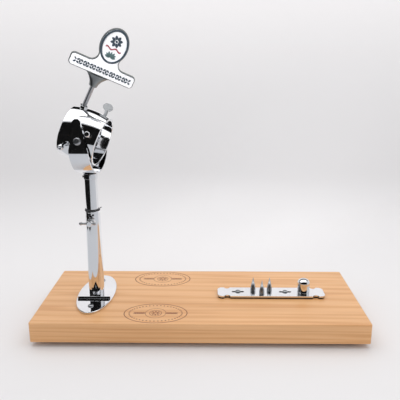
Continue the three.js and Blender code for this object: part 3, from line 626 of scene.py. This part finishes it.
def build_tubes():
    """The two tubes, the bush and the collar. The lower tube is whole here: the lock's screw and shoe pass
    through its wall, out of sight behind the boss."""
    bottom_radius, top_radius = LOWER_TUBE_RADII
    bore, top = LOWER_TUBE_BORE, LOWER_TUBE_TOP
    lower = sleeve("lower_tube_chrome", [
        (bore, PLATE_TOP), (bottom_radius, PLATE_TOP), (top_radius, top), (bore, top),
    ], COLUMN, 128, 0.45)
    dress(lower, CHROME, "chrome", "base", "lower_tube")

    inner = UPPER_TUBE_RADIUS + GAP
    outer = bore - GAP
    bush = sleeve("guide_bush_fine", [
        (inner, BUSH_BOTTOM), (outer, BUSH_BOTTOM), (outer, top),
        (top_radius, top), (top_radius, top + BUSH_FLANGE), (inner, top + BUSH_FLANGE),
    ], COLUMN, 96, 0.3)
    dress(bush, NYLON, "nylon", "base", "guide_bush")

    low, high = UPPER_TUBE_ENDS
    radius = UPPER_TUBE_RADIUS
    upper = sleeve("upper_tube_chrome", [
        (UPPER_TUBE_BORE, low), (radius, low), (radius, high), (UPPER_TUBE_BORE, high),
    ], COLUMN, 128, 0.4)
    dress(upper, CHROME, "chrome", "upper_column", "upper_tube")

    low, high = COLLAR_ENDS
    corners = [(inner, low), (COLLAR_RADIUS, low), (COLLAR_RADIUS, high), (inner, high)]
    collar = sleeve("top_collar_chrome", corners, COLUMN, 96, 0.4)
    dress(collar, CHROME, "chrome", "upper_column", "top_collar")
    grub = COLUMN @ move(z=low + 3.5) @ turn(-90, "Y")
    end = COLLAR_RADIUS + 2
    screw = turned("set_screw_fine", [(0, inner), (2, inner), (2, end), (0, end)], grub, 32)
    cut(screw, [slab("tool", hexagon(1.8), end - 1.2, end + 2, grub)])
    dress(screw, BLACK_STEEL, "black_steel", "upper_column", "collar_set_screw")


def build_wire_clip():
    """A spring wire round the upper tube, lying on the bush, with a short tail to the right."""
    wire = 0.8
    radius = UPPER_TUBE_RADIUS + GAP + wire + 0.2
    level = LOWER_TUBE_TOP + BUSH_FLANGE + wire + 0.1
    path = [Vector((*point, 0)) for point in arc((0, 0), radius, -290, 10, 60)]
    path += [Vector((radius + 0.6, radius * 0.5, 0.8)), Vector((radius + 3, radius * 0.4, 1.4))]
    sides = 12
    points = []
    for index, centre in enumerate(path):
        ahead = path[min(index + 1, len(path) - 1)] - path[max(index - 1, 0)]
        across = ahead.cross(Vector((0, 0, 1))).normalized()
        up = across.cross(ahead).normalized()
        for k in range(sides):
            angle = 2 * math.pi * k / sides
            points.append(centre + wire * (math.cos(angle) * across + math.sin(angle) * up))
    faces = [list(range(sides)), list(range(len(points) - sides, len(points)))]
    for index in range(len(path) - 1):
        faces += quads_between(index * sides, (index + 1) * sides, sides)
    clip = new_piece("wire_clip_fine", points, faces, COLUMN @ move(z=level))
    outward(clip)
    dress(clip, BLACK_STEEL, "black_steel", "base", "wire_clip")


def build_height_lock():
    start, end, radius = LOCK_KNOB_START, LOCK_KNOB_END, LOCK_KNOB_RADIUS
    screw_radius = LOCK_SCREW_RADIUS
    bore = screw_radius + GAP
    boss = sleeve("lock_boss_chrome", [
        (bore, 13.2), (LOCK_BOSS_RADIUS + 0.9, 13.2), (LOCK_BOSS_RADIUS, 15.5),
        (LOCK_BOSS_RADIUS, LOCK_BOSS_END), (bore, LOCK_BOSS_END),
    ], LOCK, 64, 0.8)
    dress(boss, CHROME, "chrome", "base", "lock_boss")

    back = UPPER_TUBE_RADIUS + 1.8 + GAP
    screw = turned("lock_screw_chrome", [
        (0, back), (screw_radius, back), (screw_radius, start), (radius, start), (radius, end), (0, end),
    ], LOCK, 64, 1.2)
    bar_place = LOCK @ move(z=(start + end) / 2) @ turn(90, "Y")
    # This cut leaves the knob whole, so the bar passes through it with no gap showing.
    cut(screw, [tool_rod(TOMMY_BAR_RADIUS + GAP, -20, 20, bar_place)])
    dress(screw, CHROME, "chrome", "lock_screw", "lock_screw")

    ball, half = TOMMY_BAR_BALL, TOMMY_BAR_HALF
    neck = math.sqrt(ball ** 2 - TOMMY_BAR_RADIUS ** 2)
    tilt = math.degrees(math.asin(TOMMY_BAR_RADIUS / ball))
    low_ball = [(r, z - half) for z, r in arc((0, 0), ball, 180, tilt, 14)]
    high_ball = [(r, z + half) for z, r in arc((0, 0), ball, 180 - tilt, 0, 14)]
    profile = low_ball + [(TOMMY_BAR_RADIUS, -half + neck), (TOMMY_BAR_RADIUS, half - neck)] + high_ball
    profile[0] = (0, -half - ball)
    profile[-1] = (0, half + ball)
    bar = revolve("tommy_bar_fine", profile, bar_place @ move(z=TOMMY_BAR_OFFSET), 40)
    join_doubles(bar)
    outward(bar)
    dress(bar, STEEL, "steel", "tommy_bar", "tommy_bar")

    eased(nodes["keeper_tab"], 0.25, angle=30)
    for name, side in (("left", -14), ("right", 14)):
        place = COLUMN @ move(z=TAB_Z) @ turn(side, "Z") @ turn(90, "X")
        pan_screw(f"tab_screw_{name}", place, TAB_OUTER + 0.1, (2, 1.2), (1.2, 3), "black_steel", "base")


# ---- head


def cradle_half_width(z):
    """Half the width of the cradle's band at a height: full at the bottom, hollow-sided arms, a round tab."""
    tab_centre = CRADLE_TAB_TOP - CRADLE_TAB_RADIUS
    if z >= tab_centre:
        return math.sqrt(max(CRADLE_TAB_RADIUS ** 2 - (z - tab_centre) ** 2, 0.09))
    taper_start = CRADLE_CENTRE_Z - 6
    if z <= taper_start:
        return CRADLE_HALF_WIDTH
    bend_z = PIVOT_Z + 12
    a = tab_centre - 2 * bend_z + taper_start
    b = 2 * (bend_z - taper_start)
    c = taper_start - z
    t = -c / b if abs(a) < 1e-9 else (-b + math.sqrt(b * b - 4 * a * c)) / (2 * a)
    bend_x = CRADLE_TAB_RADIUS + 1
    return (1 - t) ** 2 * CRADLE_HALF_WIDTH + 2 * t * (1 - t) * bend_x + t * t * CRADLE_TAB_RADIUS


def build_cradle():
    """The U-shaped band as rows of points across it, from the near tab down round to the far tab."""
    tab_centre = CRADLE_TAB_TOP - CRADLE_TAB_RADIUS
    heights = [tab_centre + CRADLE_TAB_RADIUS * math.cos(math.radians(a)) for a in range(2, 91, 6)]
    straight = 26
    heights += [tab_centre + (CRADLE_CENTRE_Z - tab_centre) * (k + 1) / straight for k in range(straight)]
    near = [(-1, 0, z) for z in heights]
    bend = [(y, z, CRADLE_CENTRE_Z) for y, z in arc((0, 0), 1, 184, 356, 43)]
    rows = near + bend + [(1, 0, z) for z in reversed(heights)]
    across = 12
    points = []
    for out_y, out_z, z in rows:
        for radius in (CRADLE_OUTER, CRADLE_INNER):
            height = z + radius * out_z
            half = cradle_half_width(height)
            for k in range(across + 1):
                points.append((half * (2 * k / across - 1), radius * out_y, height))
    width = across + 1
    stride = 2 * width
    faces = []
    for index in range(len(rows) - 1):
        a, b = index * stride, (index + 1) * stride
        for k in range(across):
            faces.append((a + k, a + k + 1, b + k + 1, b + k))
            faces.append((a + width + k, b + width + k, b + width + k + 1, a + width + k + 1))
        faces.append((a, b, b + width, a + width))
        faces.append((a + across, a + width + across, b + width + across, b + across))
    last = (len(rows) - 1) * stride
    for first in (0, last):
        faces += [(first + k, first + k + 1, first + width + k + 1, first + width + k) for k in range(across)]
    cradle = new_piece("cradle_chrome", points, faces, SWIVEL)
    outward(cradle)
    pivot = SWIVEL @ move(z=PIVOT_Z) @ turn(90, "X")
    cut(cradle, [tool_rod(PIVOT_SHANK + 0.4, -70, 70, pivot)])
    eased(cradle, 0.5, segments=2, angle=60)
    dress(cradle, CHROME, "chrome", "cradle", "cradle")

    low, high = COLLAR_ENDS[1] + 0.1, CRADLE_BOTTOM - 0.1
    corners = [(4.3, low), (10.5, low), (10.5, high), (4.3, high)]
    washer = sleeve("swivel_washer_fine", corners, SWIVEL, 48, 0.2)
    dress(washer, NYLON, "nylon", "cradle", "swivel_washer")
    bowl = CRADLE_INNER - math.sqrt(CRADLE_INNER ** 2 - 7 ** 2)
    seat = CRADLE_BOTTOM + CRADLE_THICKNESS + bowl + GAP
    pan_screw("cradle_bolt", SWIVEL, seat, (7, 3.6), (4, 20), "steel", "cradle")
    for name, side in (("near", 1), ("far", -1)):
        place = SWIVEL @ move(z=PIVOT_Z) @ turn(90 * side, "X")
        low, high = RING_RADIUS + GAP, CRADLE_INNER - GAP
        corners = [(4.2, low), (7, low), (7, high), (4.2, high)]
        washer = sleeve(f"pivot_washer_{name}_fine", corners, place, 48, 0.2)
        dress(washer, NYLON, "nylon", "cradle", f"pivot_washer_{name}")
        seat = CRADLE_OUTER + GAP
        shank = (PIVOT_SHANK, seat - (RING_RADIUS - RING_WALL) - 0.2)
        screw_place = HEAD @ turn(90 * side, "X")
        pan_screw(f"pivot_screw_{name}", screw_place, seat, PIVOT_HEAD, shank, "steel", "head")


def build_ring():
    middle = sum(RING_ENDS) / 2
    half = (RING_ENDS[1] - RING_ENDS[0]) / 2

    def dome(step):
        return RING_RADIUS - (RING_RADIUS - RING_END_RADIUS) * step ** 2

    steps = [k / 10 for k in range(-10, 11)]
    outside = [(dome(step), middle + half * step) for step in steps]
    inside = [(dome(step) - RING_WALL, middle + half * step) for step in reversed(steps)]
    ring = sleeve("head_ring_chrome", outside + inside, HEAD @ turn(90, "Y"), 160, 1.1)
    holes = [(CLAMP_SCREW_RADIUS, place) for place in CLAMP_SCREWS.values()]
    holes += [(CLAMP_SCREW_RADIUS, THUMB_SCREW_PLACE), (HANDLE_RADIUS, HANDLE_PLACE)]
    holes += [(PIVOT_SHANK, (0, around)) for around in (90, -90)]
    tools = [tool_rod(radius + GAP, *RING_CUT, on_ring(*place)) for radius, place in holes]
    cut(ring, tools)
    dress(ring, CHROME, "chrome", "head", "head_ring")


def screw_end(radius, pin):
    """The corners of a screw's inner end: a thin pin that turns in its spike, and a shoulder."""
    pin_end = SPIKE_BACK - PIN_DEPTH
    shoulder = SPIKE_BACK + GAP
    return [(0, pin_end), (pin, pin_end), (pin, shoulder), (radius, shoulder)]


def build_spike(name, place, radius, pin):
    bore = pin + GAP
    depth = SPIKE_BACK - PIN_DEPTH - GAP
    spike = turned(f"spike_{name}_fine", [
        (0, SPIKE_TIP), (radius, SPIKE_BACK - 3), (radius, SPIKE_BACK),
        (bore, SPIKE_BACK), (bore, depth), (0, depth),
    ], place, 40, 0.3)
    dress(spike, STEEL, "steel", f"{name}_point", f"spike_{name}")


def build_clamp_screws():
    seat, top = CLAMP_HEAD_ENDS
    for name, where in CLAMP_SCREWS.items():
        place = on_ring(*where)
        build_spike(name, place, SPIKE_RADIUS, CLAMP_PIN_RADIUS)
        screw = turned(f"clamp_screw_{name}_fine", screw_end(CLAMP_SCREW_RADIUS, CLAMP_PIN_RADIUS) + [
            (CLAMP_SCREW_RADIUS, seat), (CLAMP_HEAD_RADIUS, seat), (CLAMP_HEAD_RADIUS, top - 1.6),
            (CLAMP_HEAD_RADIUS * 0.8, top), (0, top),
        ], place, 56, 0.6)
        cut(screw, [slab("tool", hexagon(5), top - 3, top + 3, place)])
        dress(screw, CHROME, "chrome", f"{name}_screw", f"clamp_screw_{name}")

    place = on_ring(*THUMB_SCREW_PLACE)
    build_spike("upper_far", place, SPIKE_RADIUS, CLAMP_PIN_RADIUS)
    start, height, width = THUMB_WING
    outer_end = [(CLAMP_SCREW_RADIUS, start + 3), (0, start + 3)]
    shank = turned("shank", screw_end(CLAMP_SCREW_RADIUS, CLAMP_PIN_RADIUS) + outer_end, place, 40)
    wing = slab("wing", oval(width / 2, height / 2, (0, start + height / 2)), -1.5, 1.5, place, upright=True)
    eased(wing, 0.7, segments=4)
    apply_modifiers(wing)
    dress(merged("thumb_screw_fine", [shank, wing]), SATIN_METAL, "chrome", "upper_far_screw",
          "thumb_screw_upper_far")


# ---- handle and sign


def sign_outline(inset):
    """The sign's outline with the bar's centre at (0, 0): a bar with round ends, a neck with hollow sides,
    and an oval, every edge moved inwards by inset."""
    half_length = SIGN_HALF_LENGTH - inset
    half_height = SIGN_HALF_HEIGHT - inset
    corner = 7 - inset
    across = OVAL_HALF[0] + OVAL_EDGE - inset
    up = OVAL_HALF[1] + OVAL_EDGE - inset
    fillet = 12 + inset
    lift = half_height + fillet - OVAL_OFFSET
    edge = oval(across, up, steps=720)

    def gap_to_oval(x):
        return min(math.dist((x, lift), point) for point in edge) - fillet

    near, far = across * 0.6, across + 3 * fillet
    for _ in range(40):
        middle = (near + far) / 2
        if gap_to_oval(middle) > 0:
            far = middle
        else:
            near = middle
    centre_x = near
    touch = min(edge, key=lambda point: math.dist((centre_x, lift), point))
    end = math.degrees(math.atan2(touch[1] - lift, touch[0] - centre_x)) % 360
    right_fillet = arc((centre_x, lift), fillet, 270, end, 16)
    oval_start = math.degrees(math.atan2(touch[1] / up, touch[0] / across))
    steps = 72
    crown = []
    for k in range(1, steps):
        angle = math.radians(oval_start + (180 - 2 * oval_start) * k / steps)
        crown.append((across * math.cos(angle), up * math.sin(angle)))
    left_fillet = [(-x, y) for x, y in reversed(right_fillet)]
    head = [(x + OVAL_SHIFT, y + OVAL_OFFSET) for x, y in right_fillet + crown + left_fillet]
    x, y = half_length - corner, half_height - corner
    right_end = arc((x, -y), corner, -90, 0, 8) + arc((x, y), corner, 0, 90, 8)
    left_end = arc((-x, y), corner, 90, 180, 8) + arc((-x, -y), corner, 180, 270, 8)
    return right_end + head + left_end


def build_socket(place):
    """The cast neck that widens from the round shaft to the sign's bar."""
    top = SIGN_CENTRE - SIGN_HALF_HEIGHT - GAP
    steps, sides = 22, 72
    section = []
    for k in range(steps + 1):
        t = k / steps
        half_width = SOCKET_NECK + 0.6 * t + (SOCKET_TOP - SOCKET_NECK - 0.6) * t ** 2.2
        depth = 6 - 2.6 * t
        section.append((half_width, depth, SOCKET_START + (top - SOCKET_START) * t))
    first, last = section[0], section[-1]
    section.insert(0, (first[0] - 1, first[1] - 1, first[2]))
    section[1] = (first[0], first[1], first[2] + 1)
    section.append((last[0] - 0.8, last[1] - 0.8, last[2]))
    section[-2] = (last[0], last[1], last[2] - 0.6)
    points = []
    for half_width, depth, z in section:
        points += [(x, y, z) for x, y in oval(half_width, depth, steps=sides)]
    faces = [list(range(sides)), list(range(len(points) - sides, len(points)))]
    for row in range(len(section) - 1):
        faces += quads_between(row * sides, (row + 1) * sides, sides)
    socket = new_piece("sign_socket_cast", points, faces, place)
    outward(socket)
    cut(socket, [tool_rod(HANDLE_RADIUS + GAP, SOCKET_START - 3, SOCKET_START + SOCKET_BORE, place)])
    dress(socket, CAST_METAL, "cast_metal", "handle_screw", "sign_socket")


def leaf(length, width):
    """A pointed leaf from (0, 0) along +X."""
    steps = 10
    upper = [(length * k / steps, width / 2 * math.sin(math.pi * k / steps) ** 0.8) for k in range(steps + 1)]
    return upper[:0:-1] + [(x, -y) for x, y in upper[:-1]]


def build_ornaments(face, front):
    """A generic flower border along the bar, and a rosette over a ribbon and a sprig in the oval."""
    height = 0.5

    def flat(outline, x, z, angle):
        place = face @ move(x, 0, z) @ turn(-angle, "Y")
        return slab("mark", outline, front - height, front, place, upright=True)

    count = 9
    spacing = 2 * (SIGN_HALF_LENGTH - 6) / count
    border = []
    for k in range(count):
        x = (k - (count - 1) / 2) * spacing
        for petal in range(4):
            angle = 45 + 90 * petal
            outline = [(px + 0.9, py) for px, py in leaf(5.6, 3.0)]
            border.append(flat(outline, x, 0, angle))
        if k < count - 1:
            border.append(flat([(1.5, 0), (0, 4.6), (-1.5, 0), (0, -4.6)], x + spacing / 2, 0, 0))
    dress(merged("bar_flower_border", border), SLATE_ENAMEL, "slate_enamel", "handle_screw")

    x, z = OVAL_SHIFT, OVAL_OFFSET
    petals = []
    for k in range(8):
        outline = [(px + 2.6, py) for px, py in leaf(8.0, 5.0)]
        petals.append(flat(outline, x, z + 9.5, 45 * k + 22))
    petals.append(flat(oval(2.0, 2.0, steps=24), x, z + 9.5, 0))
    dress(merged("oval_rosette", petals), SLATE_ENAMEL, "slate_enamel", "handle_screw")

    crest = [(t / 2, 1.7 * math.sin(t * 0.21)) for t in range(-28, 29)]
    ribbon = [(px, py + 1.3) for px, py in crest] + [(px, py - 1.3) for px, py in reversed(crest)]
    dress(merged("oval_ribbon", [flat(ribbon, x, z - 4.4, 0)]), RED_ENAMEL, "slate_enamel", "handle_screw")

    leaves = []
    for side in (-1, 1):
        for k in range(3):
            leaves.append(flat(leaf(11 - k, 4.0), x + side * 0.8, z - 20, 90 - side * (24 + 27 * k)))
    leaves.append(flat(leaf(11, 3.2), x, z - 20, 90))
    dress(merged("oval_sprig", leaves), GREEN_ENAMEL, "slate_enamel", "handle_screw")


def build_handle():
    place = on_ring(*HANDLE_PLACE)
    build_spike("handle", place, HANDLE_RADIUS, HANDLE_PIN_RADIUS)

    boss = slab("handle_boss_chrome", hexagon(13), RING_RADIUS - 1.5, HANDLE_BOSS_TOP, place)
    cut(boss, [tool_rod(HANDLE_RADIUS + GAP, 30, 70, place)])
    eased(boss, 0.5)
    dress(boss, CHROME, "chrome", "head", "handle_boss")

    sign = place @ turn(HANDLE_TURN, "Z")
    top = SOCKET_START + SOCKET_BORE - GAP
    corners = screw_end(HANDLE_RADIUS, HANDLE_PIN_RADIUS) + [(HANDLE_RADIUS, top), (0, top)]
    shaft = turned("handle_shaft_fine", corners, sign, 64, 0.6)
    dress(shaft, STEEL, "steel", "handle_screw", "handle_shaft")
    build_socket(sign)

    face = sign @ move(SIGN_SHIFT, 0, SIGN_CENTRE)
    front = -SIGN_THICKNESS / 2
    plate = slab("sign_plate_cast", sign_outline(0), front, -front, face, upright=True)
    eased(plate, 0.9, segments=4)
    dress(plate, CAST_METAL, "cast_metal", "handle_screw", "sign_plate")
    panel_front = front - GAP - 1
    panel = slab("sign_face_enamel", sign_outline(SIGN_BORDER), panel_front, front - GAP, face, upright=True)
    eased(panel, 0.35, segments=3)
    dress(panel, WHITE_ENAMEL, "white_enamel", "handle_screw", "sign_face")

    rim_front = panel_front - 1.2
    outside = oval(*OVAL_HALF, steps=120)
    inside = oval(OVAL_HALF[0] - OVAL_RIM, OVAL_HALF[1] - OVAL_RIM, steps=120)
    rim_back = panel_front - GAP
    section = rounded([(0, rim_back), (0, rim_front), (1, rim_front), (1, rim_back)], 0.35, closed=True)
    points = []
    for share, y in section:
        for (x0, z0), (x1, z1) in zip(outside, inside):
            points.append((OVAL_SHIFT + x0 + share * (x1 - x0), y, OVAL_OFFSET + z0 + share * (z1 - z0)))
    count = len(outside)
    faces = []
    for row in range(len(section)):
        faces += quads_between(row * count, (row + 1) % len(section) * count, count)
    rim = new_piece("medallion_rim_slate", points, faces, face)
    join_doubles(rim)
    outward(rim)
    dress(rim, SLATE_ENAMEL, "slate_enamel", "handle_screw", "medallion_rim")
    build_ornaments(face, panel_front)


# ---- ham rest


def rest_outline(inset):
    """A long plate with round corners and a round bite in each long edge near the ends."""
    half_length = REST_HALF_LENGTH - inset
    half_width = REST_HALF_WIDTH - inset
    corner = 9 - inset
    bite = 5.5 + inset
    bite_x = REST_HALF_LENGTH - 18.5
    sink = REST_HALF_WIDTH + 0.5 - half_width
    open_angle = math.degrees(math.asin(sink / bite))
    quarter = arc((half_length - corner, half_width - corner), corner, 0, 90, 10)
    quarter += arc((bite_x, half_width + sink), bite, -open_angle, open_angle - 180, 14)
    left = [(-x, y) for x, y in reversed(quarter)]
    upper = quarter + left
    return upper + [(-x, -y) for x, y in upper]


def rest_layer(name, inset, bottom, top, easing):
    layer = slab(name, rest_outline(inset), bottom, top, REST)
    tools = []
    for slot in REST_SLOTS:
        outline = round_rectangle(12, 2.9, 2.89, (slot, 0))
        tools.append(slab("tool", outline, bottom - 1, top + 1, REST))
    cut(layer, tools)
    eased(layer, easing, segments=3)
    return layer


def build_ham_rest():
    # The pad shows as a dark band right under the plate's edge. The band is partly the pad's own rubber and
    # partly painted shade, standing in for the shade under the plate.
    pad = rest_layer("rest_pad_rubber_and_painted_shade", 1, BOARD_TOP, REST_PAD_TOP, 0.3)
    dress(pad, RUBBER, "rubber", "ham_rest", "rest_pad")
    plate = rest_layer("rest_plate_chrome", 0, REST_PAD_TOP, REST_TOP, 0.8)
    dress(plate, CHROME, "chrome", "ham_rest", "rest_plate")

    radius, height = STOP_POST_RADIUS, STOP_POST_HEIGHT
    crown = 9
    dome = []
    for degrees in range(0, 91, 9):
        angle = math.radians(degrees)
        dome.append((radius * math.cos(angle), REST_TOP + height - crown + crown * math.sin(angle)))
    dome[-1] = (0, REST_TOP + height)
    seat = REST_TOP + 0.1
    stem = [(0, REST_STEM_BOTTOM), (REST_STEM_RADIUS, REST_STEM_BOTTOM), (REST_STEM_RADIUS, seat)]
    place = REST @ move(*STOP_POST_PLACE)
    post = turned("stop_post_chrome", stem + [(radius, seat)] + dome, place, 80, 0.6)
    dress(post, CHROME, "chrome", "ham_rest", "stop_post")

    for index, (x, y) in enumerate(REST_SPIKES, start=1):
        spike = turned(f"rest_spike_{index}_fine", stem + [
            (REST_SPIKE_RADIUS, seat),
            (REST_SPIKE_RADIUS, REST_TOP + REST_SPIKE_SHOULDER),
            (0, REST_TOP + REST_SPIKE_HEIGHT),
        ], REST @ move(x, y), 48, 0.7)
        dress(spike, STEEL, "steel", "ham_rest", f"rest_spike_{index}")

    for name, slot in zip(("left", "right"), REST_SLOTS):
        pan_screw(f"rest_screw_{name}", REST @ move(slot), seat, (5, 3), (2.4, 27), "steel", "base")


# ---- stage, light and camera


def stage_material(name, color, glow=0.0):
    """A matt surface that may glow a little, more with height, as a lit backdrop does."""
    shader = Shader(name, Roughness=0.9, Specular_IOR_Level=0.0)
    shade = tuple(0.985 * c for c in color)
    shader.color(shader.ramp(shader.noise(1.5), [(0.3, shade), (0.7, color)]))
    shader.surface.inputs["Emission Color"].default_value = (*color, 1)
    split = shader.nodes.new("ShaderNodeSeparateXYZ")
    shader.link(shader.coordinates(), split, "Vector")
    shader.link(shader.between(split.outputs["Z"], 0.0, glow), shader.surface, "Emission Strength")
    return shader.material


def upright_card(y, half_width, low, high):
    return [(-half_width, y, low), (half_width, y, low), (half_width, y, high), (-half_width, y, high)]


def build_stage():
    """A pale sweep for floor and backdrop, and black and grey flags that only the chrome sees."""
    flat, bend = 1300, 900
    curve = []
    for degrees in range(6, 91, 6):
        angle = math.radians(degrees)
        curve.append((flat + bend * math.sin(angle), bend - bend * math.cos(angle)))
    depth = [(-4000, 0), (flat, 0)] + curve + [(flat + bend, 3600)]
    points = [(x, y, z) for y, z in depth for x in (-5000, 5000)]
    faces = [(2 * k, 2 * k + 1, 2 * k + 3, 2 * k + 2) for k in range(len(depth) - 1)]
    sweep = new_piece("sweep", points, faces)
    sweep.data.materials.append(stage_material("pale_sweep", (0.80, 0.785, 0.785), glow=0.47))
    sweep.data.shade_smooth()

    black = stage_material("flag_black", (0.01, 0.01, 0.01))
    grey = stage_material("flag_grey", (0.60, 0.61, 0.63))
    flags = {
        "flag_front": (black, upright_card(-1400, 2500, 0, 2600)),
        "flag_left": (black, [(-520, -700, 135), (-520, 300, 135), (-520, 300, 400), (-520, -700, 400)]),
        "flag_back": (black, upright_card(1300, 2500, 1000, 2600)),
        "flag_floor": (grey, [(-2500, -1400, 1), (1200, -1400, 1), (1200, 150, 1), (-2500, 150, 1)]),
        "flag_far_floor": (black, [(-2500, -1400, 2), (-430, -1400, 2), (-430, -620, 2), (-800, -250, 2),
                                   (-800, 150, 2), (-2500, 150, 2)]),
    }
    for name, (material, corners) in flags.items():
        flag = new_piece(name, corners, [range(len(corners))])
        flag.data.materials.append(material)
        flag.visible_camera = False
        flag.visible_diffuse = False
        flag.visible_shadow = False
        flag.visible_transmission = False


def add_area(name, location, size, power, aim):
    light = bpy.data.lights.new(name, "AREA")
    light.shape = "RECTANGLE"
    light.size, light.size_y = size
    light.energy = power
    lamp = bpy.data.objects.new(name, light)
    lamp.location = location
    lamp.rotation_euler = (Vector(aim) - Vector(location)).to_track_quat("-Z", "Y").to_euler()
    bpy.context.scene.collection.objects.link(lamp)
    return lamp


def build_light():
    world = bpy.data.worlds.new("studio")
    world.use_nodes = True
    world.node_tree.nodes["Background"].inputs["Color"].default_value = (0.93, 0.94, 0.96, 1)
    world.node_tree.nodes["Background"].inputs["Strength"].default_value = 0.74
    bpy.context.scene.world = world
    add_area("overhead_softbox", (0.0, 0.1, 1.3), (2.0, 1.2), 9, (0.0, 0.1, 0.0))
    fill = add_area("front_fill", (0.9, -1.6, 1.5), (1.6, 1.2), 2.5, (0.0, 0.0, 0.1))
    sign_light = add_area("sign_light", (-0.5, -0.7, 0.8), (0.3, 0.3), 0.3, (-0.16, 0.0, 0.5))
    sign_light.data.spread = math.radians(30)
    for lamp in (fill, sign_light):
        lamp.visible_glossy = False


def build_camera():
    camera = bpy.data.objects.new("camera", bpy.data.cameras.new("camera"))
    camera.data.sensor_width = 36
    camera.data.lens = CAMERA_LENS
    camera.data.clip_end = 50
    pitch, yaw, roll = CAMERA_PITCH, CAMERA_YAW, CAMERA_ROLL
    ahead = Vector((math.sin(yaw) * math.cos(pitch), math.cos(yaw) * math.cos(pitch), -math.sin(pitch)))
    level = Vector((math.cos(yaw), -math.sin(yaw), 0))
    right = level * math.cos(roll) + level.cross(ahead) * math.sin(roll)
    up = right.cross(ahead)
    turned_view = Matrix((right, up, -ahead)).transposed().to_4x4()
    camera.matrix_world = Matrix.Translation(CAMERA_PLACE) @ turned_view
    bpy.context.scene.collection.objects.link(camera)
    bpy.context.scene.camera = camera


def dress_cad_nodes():
    """The CAD nodes that still show get their slot's material and smooth sides."""
    slots = {part["node"]: part["material_slot"] for part in frame["record"]["subparts"]}
    for name, node in nodes.items():
        if node.hide_render:
            continue
        node.data.materials.clear()
        node.data.materials.append(SLOTS[slots[name]])
        normals = node.modifiers.new("normals", "WEIGHTED_NORMAL")
        normals.keep_sharp = True


build_board()
build_feet()
build_foot_plate()
build_tubes()
build_wire_clip()
build_height_lock()
build_cradle()
build_ring()
build_clamp_screws()
build_handle()
build_ham_rest()
dress_cad_nodes()
build_stage()
build_light()
build_camera()
bpy.context.scene.view_settings.view_transform = "Standard"
